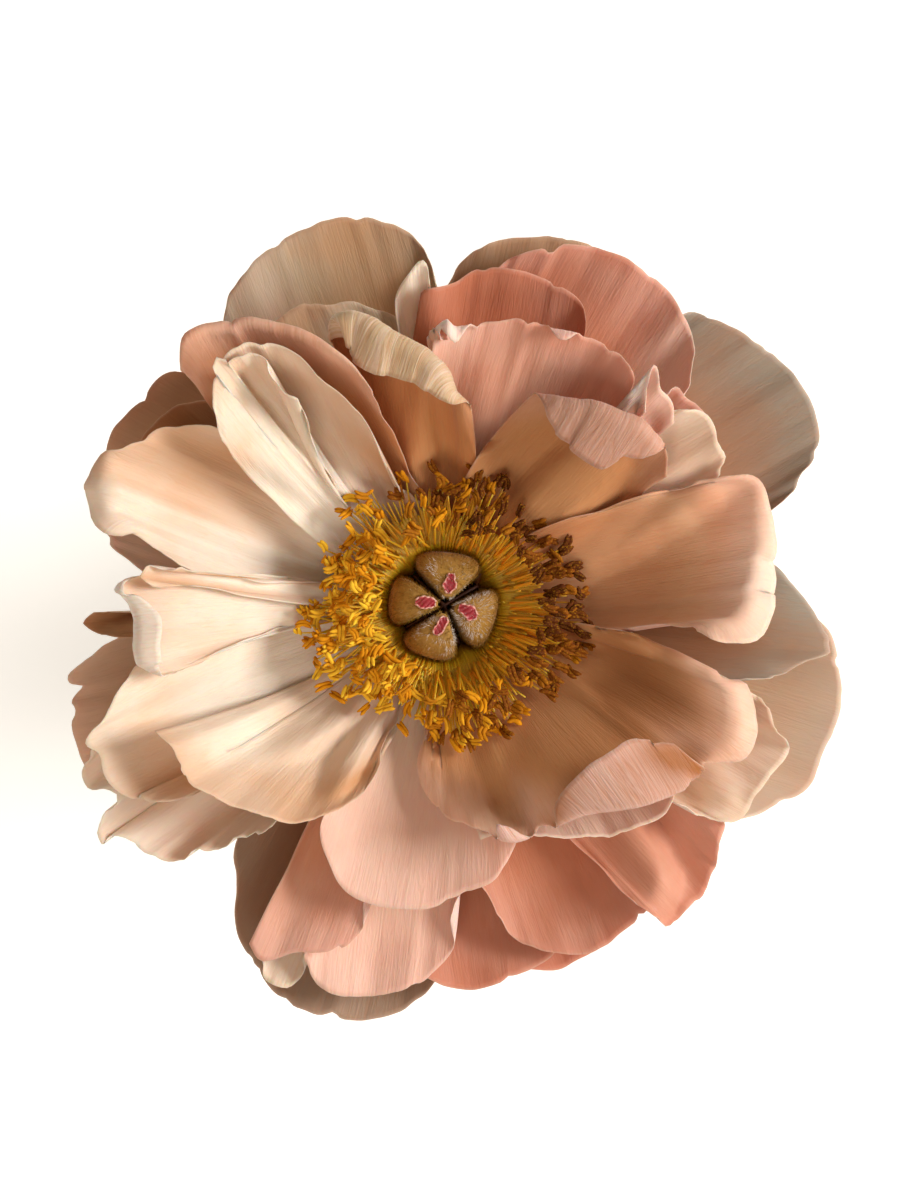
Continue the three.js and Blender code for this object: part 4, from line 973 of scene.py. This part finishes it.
# How near and how far the anthers stand from the middle, and how thickly, at each azimuth in degrees.
STAMEN_SPREAD = [(0, 21, 32, 1.0), (20, 21, 31, 0.9), (30, 20, 29, 0.7), (42, 20, 27, 0.2), (58, 17, 31, 0.5),
                 (78, 16, 32, 0.4), (100, 16, 29, 0.22), (126, 15, 31, 0.3), (150, 14, 29, 0.6),
                 (172, 14, 28, 0.75), (202, 14, 33, 0.8), (230, 14, 29, 0.85), (244, 15, 26, 0.6),
                 (250, 14, 20, 0.1), (256, 18, 27, 0.7), (270, 19, 30, 1.0), (288, 20, 32, 1.0),
                 (310, 20, 30, 1.0), (344, 22, 34, 1.0), (360, 21, 32, 1.0)]
TANGLED_SIDE = 190  # the azimuth where the stamens are the most tangled
SHADED_BROWN_SIDE = 15  # the azimuth of the browner anthers and threads: older there, and with painted shade on that shaded side
APART = 1.7  # between two anthers where the stamens stand in order
BARE_THREADS = 560
BARE_NEAREST, BARE_REACH = 14.5, 0.85  # bare threads end from this radius to this share of the way
BARE_SIDE = 225  # the azimuth where most threads are bare
# Height of the anthers and of bare threads' ends: on the inside, its change outwards, and its scatter.
ANTHER_HEIGHT, BARE_HEIGHT = (23, -9, (-2.5, 2)), (11, 4.5, (-1, 1.5))
THREAD = dict(radius=0.32, foot=1.3, tip=0.55, steps=10, sides=6)
ANTHER = dict(length=(2.8, 4.6), size=(0.85, 1.15), lobe=0.46, apart=0.38, steps=8, sides=8)


def polar(radius, angle, height):
    """A place from its distance and angle round the bloom's axis, and its height."""
    return radius * math.cos(angle), radius * math.sin(angle), height


def stamen_lines(draw, count, bare=False):
    """The threads' curves and the anthers' directions, by azimuth. Bare threads stay shorter and lower."""
    azimuths, nears, fars, crowds = zip(*STAMEN_SPREAD)
    threads, leans, spots = [], [], []
    while len(threads) < count:
        degrees = draw.uniform(0, 360)
        azimuth = math.radians(degrees)
        near, far, crowd = (float(np.interp(degrees, azimuths, values)) for values in (nears, fars, crowds))
        if bare:
            near, crowd = BARE_NEAREST, 0.25 + 0.75 * math.cos(math.radians(degrees - BARE_SIDE) / 2) ** 4
        if draw.random() > crowd:
            continue
        wild = 0.5 + 0.5 * math.cos(math.radians(degrees - TANGLED_SIDE))
        share = BARE_REACH * draw.random() ** 1.3 if bare else draw.random() ** 0.8
        reach = near + (far - near) * share
        level, change, scatter = BARE_HEIGHT if bare else ANTHER_HEIGHT
        height = level + change * share + draw.uniform(*scatter)
        spot = polar(reach, azimuth, height)[:2]
        if not bare and any(math.dist(spot, other) < APART - 0.5 * wild for other in spots):
            continue
        spots.append(spot)
        twist = draw.gauss(0, 0.07 + 0.1 * wild)
        route = ((9.2 + 1.2 * share, 0.8, 0), (12.3 + 1.2 * share, 5.6, 0.2),
                 (12.2 + (reach - 12.2) * 0.55, 6 + (height - 6) * 0.62, 0.7), (reach, height, 1.0))
        points = [polar(radius, azimuth + twist * turn, level) for radius, level, turn in route]
        threads.append(spline(points, THREAD["steps"])[0])
        lean = azimuth + draw.gauss(0, 0.45 + 0.65 * wild)
        tilt = math.radians(draw.uniform(-15, 35 + 45 * wild))
        leans.append(polar(math.cos(tilt), lean, math.sin(tilt)))
    return np.array(threads), np.array(leans)


STAMEN_RING = [(8.2, -0.1), (8.5, 1.2), (9.4, 1.6), (10.5, 1.2), (10.8, -0.1), (8.2, -0.1)]  # radius, height


def stamens():
    """Threads with two-lobed anthers in a dense ring, bare threads, packed ones and the ring below them."""
    draw = random.Random(7)
    threads, leans = stamen_lines(draw, STAMENS)
    tips = threads[:, -1]
    tint = np.array([anther_age_and_shade(tip, draw) for tip in tips])
    steps = THREAD["steps"]
    bare, _ = stamen_lines(draw, BARE_THREADS, bare=True)
    threads = np.concatenate([threads, bare])
    thread_tint = np.concatenate([tint, [0.8 * anther_age_and_shade(thread[-1], draw) for thread in bare]])
    taper = np.linspace(THREAD["foot"], THREAD["tip"], steps)
    radii = np.tile(THREAD["radius"] * taper, (len(threads), 1))
    vertices, faces, index = tubes(threads, radii, THREAD["sides"])
    reach = np.broadcast_to(np.linspace(0, 1, steps)[None, :, None], index.shape)
    fields = {"reach": reach, "tint": np.broadcast_to(thread_tint[:, None, None], index.shape)}
    thread_skin = filament_skin()
    piece_from("stamen_threads", vertices, faces, thread_skin, fields, node="stamens")
    anthers(draw, tips, leans, tint)
    thread_mass(draw, thread_skin)
    vertices, faces = turned_form(STAMEN_RING, RING_SIDES)
    fields = {"reach": [0.0] * len(vertices), "tint": [0.5] * len(vertices)}
    piece_from("stamen_ring", vertices, faces, thread_skin, fields)


MASS_STRANDS, STRAND_STEPS, MASS_ROWS = 230, 6, 26  # strands, grid lines across each, and rows up the slope
MASS_SLOPE = [(9.6, 1.6), (11.2, 3.4), (12.1, 6.2), (12.7, 8.8), (14.0, 10.4), (17, 11.4), (20, 12.2),
              (23.5, 13)]  # radius, height
STRAND_HEIGHT = 0.3
MASS_HALF = 0.15  # half the mass's thickness
CORNER_DEPTH = 2.2  # how far the strands press into the corners between the carpels


def thread_mass(draw, skin):
    """The lowest threads, packed so close that they make one ribbed golden funnel with a frayed edge."""
    slope, _ = spline(MASS_SLOPE, MASS_ROWS)
    ends = np.repeat([draw.uniform(0.72, 1.0) for _ in range(MASS_STRANDS)], STRAND_STEPS)
    lifts = np.repeat([draw.uniform(-0.35, 0.35) for _ in range(MASS_STRANDS)], STRAND_STEPS)
    turn = np.arange(MASS_STRANDS * STRAND_STEPS) * 2 * math.pi / (MASS_STRANDS * STRAND_STEPS)
    crown = np.abs(np.sin(MASS_STRANDS / 2 * turn)) ** 0.7
    shares = np.linspace(0, 1, MASS_ROWS)
    along = shares[:, None]
    reach = along * (0.35 + 0.65 * ends * (0.75 + 0.25 * crown))[None, :]
    radius = np.interp(reach, shares, slope[:, 0])
    level = np.interp(reach, shares, slope[:, 1]) + (STRAND_HEIGHT * crown + lifts) * np.minimum(along * 2, 1)
    for azimuth, half, _ in CARPELS:
        apart = np.degrees(np.angle(np.exp(1j * (turn - math.radians(azimuth + half)))))
        radius = radius - CORNER_DEPTH * np.exp(-(apart / 10)[None, :] ** 2 - ((level - 6) / 3.5) ** 2)
    sway = turn[None, :] + 0.05 * np.sin(5 * turn + 3 * along) * along
    lean = 0.5 * np.minimum(level / 8, 1)
    grid = np.stack([radius * np.cos(sway) + lean, radius * np.sin(sway), level], -1)
    grid = np.concatenate([grid, grid[:, :1]], 1)
    vertices, faces, _ = sheet(grid[:, ::-1], np.full(grid.shape[:2], MASS_HALF))
    # Browner towards the shaded side: partly older threads, partly painted shade.
    age_and_shade = 0.15 + 0.7 * (0.5 + 0.5 * np.cos(sway - math.radians(SHADED_BROWN_SIDE))) ** 1.3
    age_and_shade = np.concatenate([age_and_shade, age_and_shade[:, :1]], 1)[:, ::-1]
    fields = {"reach": both(np.broadcast_to(0.15 + 0.5 * along, age_and_shade.shape)), "tint": both(age_and_shade)}
    piece_from("stamen_mass", vertices, faces, skin, fields)


def anther_age_and_shade(tip, draw):
    """0 is fresh gold and 1 is brown: where the anthers have opened and emptied, and painted shade on the
    shaded right-hand side.
    """
    side = 0.5 + 0.5 * math.cos(math.atan2(tip[1], tip[0]) - math.radians(SHADED_BROWN_SIDE))
    return min(max(0.08 + 0.78 * side**1.3 + draw.uniform(-0.25, 0.38), 0), 1)


LOBE_FORM = np.array([0.4, 0.85, 1.0, 0.96, 0.98, 1.0, 0.84, 0.35])  # how full a lobe is along its length


def anthers(draw, tips, leans, tint):
    """Two sacs side by side on each thread, a little bowed and often spread at one end."""
    along = np.linspace(0, 1, ANTHER["steps"])
    lines, radii, seams = [], [], []
    for tip, lean in zip(tips, leans):
        length, size = draw.uniform(*ANTHER["length"]), draw.uniform(*ANTHER["size"])
        bow = draw.gauss(0, 0.11)
        size *= 1 + 0.25 * max(lean[0], 0) * (tip[0] > 12)  # the right ones are the largest
        spread = draw.uniform(0, 0.9)
        sideways = np.cross(lean, [0, 0, 1.0])
        sideways /= np.linalg.norm(sideways)
        roll = draw.gauss(0, 0.6)
        rolls = (roll + draw.gauss(0, 0.7) * (along - 0.5))[:, None]
        beside = sideways * np.cos(rolls) + np.cross(sideways, lean) * np.sin(rolls)
        for sign in (-1, 1):
            offset = sign * (ANTHER["apart"] * size + spread * (along - 0.4) ** 2)
            line = tip + lean * (along * length - 0.6)[:, None] + beside * offset[:, None]
            line = line + sideways * (np.sin(math.pi * along) * bow * length)[:, None]
            lines.append(line)
            lumps = 1 + 0.13 * np.sin(along * draw.uniform(6, 12) + draw.uniform(0, WHOLE_TURN))
            radii.append(ANTHER["lobe"] * size * LOBE_FORM * lumps)
            seams.append(-sign * beside)
    lines, radii, seams = np.array(lines), np.array(radii), np.array(seams)
    vertices, faces, index = tubes(lines, radii, ANTHER["sides"])
    spokes = unit(vertices.reshape(index.shape + (3,)) - lines[:, :, None, :])
    # How much each point faces the other lobe, for painted shade in the furrow between them.
    shade_between_lobes = np.maximum(np.einsum("nksx,nkx->nks", spokes, seams), 0)
    fields = {"groove_shade": shade_between_lobes, "tint": np.broadcast_to(np.repeat(tint, 2)[:, None, None], index.shape)}
    piece_from("anthers", vertices, faces, anther_skin(), fields, node="stamens")


# Each carpel's azimuth, half the angle that it fills, and how strong the painted silvery highlight on its
# hairs is.
CARPELS = ((83.5, 49, 0.35), (173, 38, 0.15), (252, 42, 0.4), (-17.5, 46, 0.7))
CARPEL_HEIGHT, CARPEL_FOOT, CARPEL_OFFSET = 16.0, 0.8, 5.8
CARPEL_ROWS, CARPEL_COLUMNS = 34, 48
CARPEL_DISC = [(0, 0.1), (6.2, 0.1), (7.4, 0.9), (7.6, 2.6), (6.4, 3.4), (0, 3.4)]  # radius, height
CLEFT_OUT, CLEFT_FOOT = 9.4, 2.8  # how far out the wall in a cleft runs, and where it starts
CLEFT_RISE, CLEFT_FALL = 10.2, 0.55  # how high it is in the middle, and how steeply its top falls outwards
CLEFT_HALF = 0.3  # half its thickness
# How full a carpel is at shares of its height: it swells from a narrow foot and closes in a dome.
CARPEL_RISE = (0.0, 0.2, 0.4, 0.6, 0.76, 0.86, 0.93, 0.975, 1.0)
CARPEL_BELLY = (1.8, 4.8, 6.2, 6.7, 6.5, 5.7, 4.4, 2.8, 0.15)
TIP_LEAN = (1.6, 0.2)  # the tips lean over together


def carpel_point(azimuth, half, up, angle):
    """A point on a carpel's skin: up is 0 at the foot and 1 at the tip, angle 0 faces outwards."""
    belly = np.interp(up, CARPEL_RISE, CARPEL_BELLY)
    turns = (math.cos(angle), math.sin(angle))
    forward, sideways = (math.copysign(abs(turn) ** 0.88, turn) for turn in turns)
    out = CARPEL_OFFSET - 0.8 * up**2 + belly * forward
    across = belly * 1.25 * half / 45 * sideways
    cleft, inner = 0.8 + 0.5 * up, 1.3 + 0.7 * up
    out = inner + max(out - inner, 0)
    limit = max((out - cleft) * 0.97 * math.tan(math.radians(half)), 0.05)
    across = limit * math.tanh(1.25 * across / limit) * (1 - 0.1 * up**4)
    return on_carpel(azimuth, out, across, CARPEL_FOOT + (CARPEL_HEIGHT - CARPEL_FOOT) * up)


def on_carpel(azimuth, out, across, level):
    """A carpel's own outward, sideways and upward distances as a place in the bloom."""
    a, up = math.radians(azimuth), level / CARPEL_HEIGHT
    return Vector((out * math.cos(a) - across * math.sin(a) + TIP_LEAN[0] * up**2,
                   out * math.sin(a) + across * math.cos(a) + TIP_LEAN[1] * up**2, level))


def cleft_walls(skin):
    """Dark brown sheets standing in the clefts between the carpels, a low cross: painted shade seen down the
    clefts.
    """
    for number, (azimuth, half, _) in enumerate(CARPELS):
        out, up = np.meshgrid(np.linspace(0, CLEFT_OUT, 14), np.linspace(0, 1, 12))
        level = CLEFT_FOOT + (CLEFT_RISE - CLEFT_FALL * out) * up
        a, lean = math.radians(azimuth + half + 0.5), (level / CARPEL_HEIGHT) ** 2
        east = out * math.cos(a) + TIP_LEAN[0] * lean
        north = out * math.sin(a) + TIP_LEAN[1] * lean
        vertices, faces, _ = sheet(np.stack([east, north, level], -1), np.full(level.shape, CLEFT_HALF))
        piece_from(f"cleft_wall_{number + 1}", vertices, faces, skin)


def carpels():
    """Four felted carpels in a cross on their disc, with their stigmas and hairs."""
    draw = random.Random(5)
    skin, hair, stigma = carpel_skin(), hair_skin(), stigma_skin()
    vertices, faces = turned_form(CARPEL_DISC, 60)
    cleft = cleft_shade_skin()
    piece_from("carpel_disc", vertices, faces, cleft)
    # Dark sheets in the clefts: painted shade.
    cleft_walls(cleft)
    ups = [1 - (1 - row / CARPEL_ROWS) ** 1.8 for row in range(CARPEL_ROWS + 1)]
    angles = [2 * math.pi * column / CARPEL_COLUMNS for column in range(CARPEL_COLUMNS)]
    index = np.arange((CARPEL_ROWS + 1) * CARPEL_COLUMNS).reshape(CARPEL_ROWS + 1, CARPEL_COLUMNS)
    after = np.roll(index, -1, axis=1)
    faces = np.stack([index[:-1], after[:-1], after[1:], index[1:]], -1).reshape(-1, 4).tolist()
    faces += [index[0, ::-1].tolist(), index[-1].tolist()]
    fields = {"reach": np.repeat(ups, CARPEL_COLUMNS)}
    for number, (azimuth, half, silver_glint) in enumerate(CARPELS, 1):
        vertices = [tuple(carpel_point(azimuth, half, up, angle)) for up in ups for angle in angles]
        piece_from(f"carpel_{number}", vertices, faces, skin, fields, node="carpels")
        carpel_hairs(f"carpel_hair_{number}", azimuth, half, silver_glint, draw, hair)
        stigma_crest(f"stigma_{number}", azimuth, draw, stigma)


HAIRS = 2300  # on each carpel
HAIR_LENGTH, HAIR_RADII, HAIR_SIDES = (0.5, 1.1), (0.045, 0.035, 0.01), 3
HAIR_ARCH = 0.08  # how far a hair's middle rises
SILVER_AT, SILVER_BAND = 0.95, 0.1  # where on the carpel its hairs get the painted silvery highlight, and over what share of it


def carpel_hairs(name, azimuth, half, paleness_and_glint, draw, skin):
    """Hairs that lie outwards from the stigma, with a painted silvery highlight near the top."""
    lines, silver_glint = [], []
    for _ in range(HAIRS):
        up, angle = 1 - draw.random() ** 1.5 * 0.85, draw.uniform(-2.6, 2.6)
        foot = carpel_point(azimuth, half, up, angle)
        around = carpel_point(azimuth, half, up, angle + 0.05) - foot
        below = carpel_point(azimuth, half, max(up - 0.02, 0.0), angle) - foot
        out = below.cross(around)
        if out.length < 1e-9 or below.length < 1e-9:
            continue
        out = out.normalized() + below.normalized() * 1.1 + Vector([draw.gauss(0, 0.25) for _ in range(3)])
        end = foot + out.normalized() * draw.uniform(*HAIR_LENGTH)
        lines.append([foot, foot.lerp(end, 0.5) + Vector((0, 0, HAIR_ARCH)), end])
        # The painted silvery highlight, strongest near the top.
        shine = paleness_and_glint * math.exp(-((up - SILVER_AT) / SILVER_BAND) ** 2)
        silver_glint += [shine] * len(HAIR_RADII) * HAIR_SIDES
    lines = np.array([[tuple(p) for p in line] for line in lines])
    vertices, faces, _ = tubes(lines, np.tile(HAIR_RADII, (len(lines), 1)), HAIR_SIDES)
    piece_from(name, vertices, faces, skin, {"paleness_and_glint": silver_glint})


STIGMA_FOOT = 1.1  # a stigma lies a little above its carpel's skin
STIGMA_OUT, STIGMA_RUN = 7.2, 4.6  # where it starts, from the axis, and how far in it runs
STIGMA_WIDTH, STIGMA_TWIST = (1.2, 1.6), (-0.25, 0.25)
STIGMA_HALF = 0.22  # half its thickness


def stigma_crest(name, azimuth, draw, skin):
    """A crimson pad with a curled pale rim, from the top of its carpel down to the inner corner."""
    rows, columns = 26, 13
    twist, wide = draw.uniform(*STIGMA_TWIST), draw.uniform(*STIGMA_WIDTH)
    phases = [draw.uniform(0, WHOLE_TURN) for _ in range(4)]
    grid = np.zeros((rows, columns, 3))
    fields = []
    for i in range(rows):
        along = i / (rows - 1)
        half = wide * math.sin(math.pi * (0.05 + 0.9 * along)) ** 0.6
        half *= 1 + 0.14 * math.sin(along * 9 + phases[0])
        out = STIGMA_OUT - STIGMA_RUN * along
        dome = np.interp(abs(out - CARPEL_OFFSET + 0.8), CARPEL_BELLY[:3:-1], CARPEL_RISE[:3:-1])
        level = STIGMA_FOOT + (CARPEL_HEIGHT - CARPEL_FOOT) * float(dome)
        for j in range(columns):
            side = 2 * j / (columns - 1) - 1
            wave = 0.09 * math.sin(along * 9 + side * 2 + phases[1])
            wave += 0.05 * math.sin(along * 23 + phases[2])
            across = half * side + twist * (along - 0.5) * 4 + wave
            lift = 0.55 * abs(side) ** 3 - 0.25 * side**2 + 0.1 * math.sin(along * 25 + side * 6 + phases[3])
            grid[i, j] = on_carpel(azimuth, out, across, level + lift)
            fields.append(min(1 - abs(side) ** 3, math.sin(math.pi * along) * 2.5))
    vertices, faces, _ = sheet(grid, np.full((rows, columns), STIGMA_HALF))
    piece_from(name, vertices, faces, skin, {"reach": both(fields)})


# ---------------------------------------------------------------- stem, leaves, sepals

STEM_RADIUS = 3.2
STEM_ROUTE = [(12, -2, 6.7), (7, -1, 48), (0.6, 0, 98), (-5.6, 0.3, 132), (-8.8, 0.3, 162), (-10, 0, 188),
              (-10, 0, 200)]
STEM_END = [(200.0, 3.2), (201.5, 4.2), (203.0, 4.9), (207.0, 6.0), (211.3, 6.3),
            (212.0, 5.8)]  # height, radius
STEM_SIDES = 40
KNUCKLE, KNUCKLE_LENGTH = 0.5, 3.0  # how far the stem swells where a leaf leaves it, and over what length
ORIGIN = Vector((0, 0, 0))


def stem():
    """The stem from its cut end to the receptacle, a little swollen where the leaves leave it."""
    line, length = spline(STEM_ROUTE, 150)
    heights = line[:, 2]
    radii = np.full(len(line), STEM_RADIUS)
    for plan in LEAVES.values():
        radii += KNUCKLE * np.exp(-((heights - plan["height"]) / KNUCKLE_LENGTH) ** 2)
    line = np.vstack([line[:-1], [(BLOOM.x, BLOOM.y, height) for height, _ in STEM_END]])
    radii = np.concatenate([radii[:-1], [radius for _, radius in STEM_END]])
    vertices, faces, index = tubes(line[None], radii[None], STEM_SIDES)
    along = np.broadcast_to(np.linspace(0, length, len(line))[None, :, None], index.shape)
    around = np.broadcast_to(np.arange(STEM_SIDES) * 2 * math.pi / STEM_SIDES * STEM_RADIUS, index.shape)
    uv = np.stack([around.ravel(), along.ravel()], -1)
    piece_from("stem", vertices, faces, stem_skin(), None, uv, node="stem", at=ORIGIN)


LEAFLET_HALF = 0.25  # half a leaflet's thickness
RIB_HEIGHT = 0.22  # how far a leaflet swells between its side veins


def leaflet_sheet(length, width, fold, arch, wave, draw):
    """One leaflet in its own frame, +X towards its tip: vertices, faces, fields and grain map."""
    rows, columns = 46, 25
    along = np.linspace(0, 1, rows)[:, None]
    side = np.linspace(-1, 1, columns)[None, :]
    half = np.maximum(width / 2 * np.sin(np.pi * along**0.85) ** 0.8, 0.35) * np.ones_like(side)
    phase = draw.uniform(0, 6)
    slanted = along * length - np.abs(side) * half * 0.9
    rib = RIB_HEIGHT * np.cos(2 * np.pi * slanted / VEIN_GAP) * np.abs(side) * 1.5
    ripple = wave * side**2 * np.sin(along * 11 + side * 2 + phase)
    lift = np.abs(side) * half * fold + ripple - arch * along**2
    lift = lift + rib * np.sin(np.pi * along)
    curve = 2.0 * np.sin(np.pi * along) * draw.uniform(-1, 1)
    grid = np.stack([length * along * np.ones_like(side), -half * side + curve, lift], -1)
    vertices, faces, underside = sheet(grid, np.full((rows, columns), LEAFLET_HALF))
    uv = np.stack([half * side, length * along * np.ones_like(side)], -1).reshape(-1, 2)
    return vertices, faces, {"underside": underside}, np.tile(uv, (2, 1))


def place(vertices, spot, turn, pitch, twist):
    """A leaflet's vertices twisted, pitched up and turned by so many degrees, and moved to its spot."""
    matrix = (Matrix.Translation(spot) @ Matrix.Rotation(math.radians(turn), 4, "Z")
              @ Matrix.Rotation(-math.radians(pitch), 4, "Y") @ Matrix.Rotation(math.radians(twist), 4, "X"))
    return np.array([tuple(matrix @ Vector(v)) for v in vertices])


LEAVES = {
    "leaf_west": dict(height=166, azimuth=205, stalk=20, rise=42, leaflets=[
        dict(turn=0, pitch=8, twist=8, back=2, length=50, width=21, fold=0.35, arch=15, wave=0.9),
        dict(turn=58, pitch=4, twist=-8, back=4, length=44, width=18, fold=0.35, arch=13, wave=0.8),
        dict(turn=-60, pitch=6, twist=14, back=4, length=42, width=17, fold=0.35, arch=12, wave=0.8)]),
    "leaf_east": dict(height=179, azimuth=20, stalk=17, rise=24, leaflets=[
        dict(turn=0, pitch=2, twist=-6, back=2, length=48, width=19, fold=0.35, arch=16, wave=0.9),
        dict(turn=55, pitch=-2, twist=-10, back=4, length=38, width=16, fold=0.35, arch=12, wave=0.7),
        dict(turn=-57, pitch=-2, twist=10, back=4, length=40, width=16, fold=0.35, arch=13, wave=0.7)]),
}


STALK_STEPS, STALK_SIDES = 24, 16


def leaves():
    """Each leaf's stalk, grown out of the stem, and its three leaflets."""
    skin = leaf_skin("leaf_blade", "#3f5f2b", "#2f4a22", "#71895a", "#a9b878")
    stalk_skin = stem_skin()
    draw = random.Random(3)
    line, _ = spline(STEM_ROUTE, 400)
    for name, plan in LEAVES.items():
        start = Vector(line[int(np.argmax(line[:, 2] >= plan["height"]))])
        a, rise = math.radians(plan["azimuth"]), math.radians(plan["rise"])
        out = Vector((math.cos(a) * math.cos(rise), math.sin(a) * math.cos(rise), math.sin(rise)))
        end = start + out * plan["stalk"]
        knee = start.lerp(end, 0.5) + Vector((0, 0, 1.5))
        stalk, _ = spline([tuple(start + out * 2.4), tuple(knee), tuple(end)], STALK_STEPS)
        along = np.linspace(0, 1, STALK_STEPS)
        radii = np.interp(along, [0, 0.15, 1], [1.9, 1.3, 1.0])
        vertices, faces, _ = tubes(stalk[None], radii[None], STALK_SIDES)
        around = np.tile(np.arange(STALK_SIDES) * 0.5, STALK_STEPS)
        uv = np.stack([around, np.repeat(along * plan["stalk"], STALK_SIDES)], -1)
        piece_from(f"{name}_stalk", vertices, faces, stalk_skin, None, uv, at=ORIGIN)
        for number, leaflet in enumerate(plan["leaflets"], 1):
            size = {key: leaflet[key] for key in ("length", "width", "fold", "arch", "wave")}
            vertices, faces, fields, uv = leaflet_sheet(**size, draw=draw)
            spot = end - out * leaflet["back"]
            turn = plan["azimuth"] + leaflet["turn"]
            placed = place(vertices, spot, turn, leaflet["pitch"], leaflet["twist"])
            piece_from(f"{name}_leaflet_{number}", placed, faces, skin, fields, uv, node=name,
                       at=ORIGIN)


SEPAL_COLLAR = [(5.0, -12.2), (8.0, -12.2), (8.3, -11), (8.2, -10.0), (5.9, -10.0),
                (5.0, -12.2)]  # radius, height
SEPAL_ROOT, SEPAL_HEIGHT, SEPAL_DROOP = 6.6, -11.3, -12
SEPALS = 5
ROUND_SEPAL = dict(length=21, width=19, fold=0.12, arch=6, wave=0.5)
LEAFY_SEPAL = dict(length=32, width=11, fold=0.3, arch=12, wave=0.4)


def sepals():
    """Three round green sepals and two long leafy ones under the petals, on their collar."""
    skin = leaf_skin("sepal_blade", "#7d9152", "#6d8245", "#93a467", "#b3bf86")
    draw = random.Random(9)
    vertices, faces = turned_form(SEPAL_COLLAR, 60)
    uv = [(math.atan2(y, x) * 8, z) for x, y, z in vertices]
    fields = {"underside": [0.0] * len(vertices)}
    piece_from("sepal_collar", vertices, faces, skin, fields, uv)
    for k in range(SEPALS):
        size = LEAFY_SEPAL if k % 2 else ROUND_SEPAL
        vertices, faces, fields, uv = leaflet_sheet(**size, draw=draw)
        azimuth = 360 // SEPALS * k + 30
        spot = Vector(polar(SEPAL_ROOT, math.radians(azimuth), SEPAL_HEIGHT))
        placed = place(vertices, spot, azimuth, SEPAL_DROOP, 0)
        piece_from(f"sepal_{k + 1}", placed, faces, skin, fields, uv, node="sepals")


# ---------------------------------------------------------------- vase and water

# (radius, height) pairs up the outside, over the lip and round the foot
VASE_OUTSIDE = [(25, 1.2), (31, 14), (36, 38), (32.5, 62), (22, 85), (14.6, 105), (12.4, 124), (13.2, 140),
                (15.6, 150)]
VASE_LIP = [(15.4, 150.5), (14.6, 150.8), (13.6, 150.6), (12.9, 150.0)]
VASE_FOOT = [(0, 0.6), (20.5, 0.6), (21.5, 0.0), (23.6, 0.0), (24.6, 0.5)]
VASE_WALL, VASE_FLOOR, VASE_NECK_TOP = 3.0, 6.0, 149
WATER_LEVEL, WATER_GAP = 96.0, 0.3
VASE_ROWS, VASE_SIDES, WATER_SIDES = 80, 128, 96


def wall_line(below, gap=0.0):
    """The vase's inner wall from near its floor up to a height, as (radius, height) pairs, less a gap."""
    outside, _ = spline(VASE_OUTSIDE, VASE_ROWS)
    inner = [(radius - VASE_WALL - gap, height) for radius, height in outside]
    return [point for point in inner if VASE_FLOOR + 2 < point[1] < below]


def vase():
    """The glazed vase: foot, belly, narrow neck and lip, and its hollow down to a rounded floor."""
    outside, _ = spline(VASE_OUTSIDE, VASE_ROWS)
    inside = wall_line(VASE_NECK_TOP)[::-1]
    corner = inside[-1][0]
    bottom = [(corner - 1.2, VASE_FLOOR + 0.5), (corner - 4, VASE_FLOOR), (0, VASE_FLOOR)]
    profile = VASE_FOOT + [tuple(point) for point in outside] + VASE_LIP + inside + bottom
    vertices, faces = turned_form(profile, VASE_SIDES)
    piece_from("vase", vertices, faces, glaze(), node="vase", at=ORIGIN)


def water():
    """The water, whose surface climbs a little at the vase's wall."""
    side = wall_line(WATER_LEVEL, WATER_GAP)
    edge = side[-1][0]
    top = [(edge - 0.6, WATER_LEVEL - 0.1), (edge - 1.8, WATER_LEVEL - 0.8), (0, WATER_LEVEL - 0.8)]
    profile = [(0, VASE_FLOOR + WATER_GAP), (side[0][0] - 3, VASE_FLOOR + WATER_GAP)] + side + top
    vertices, faces = turned_form(profile, WATER_SIDES)
    piece_from("water", vertices, faces, clear_water(), node="water", at=ORIGIN)


# ---------------------------------------------------------------- the whole picture

camera()
studio()
floor()
skins = petal_skins()
petals(skins)
petal_collar(skins["peach"])
stamens()
carpels()
stem()
leaves()
sepals()
vase()
water()
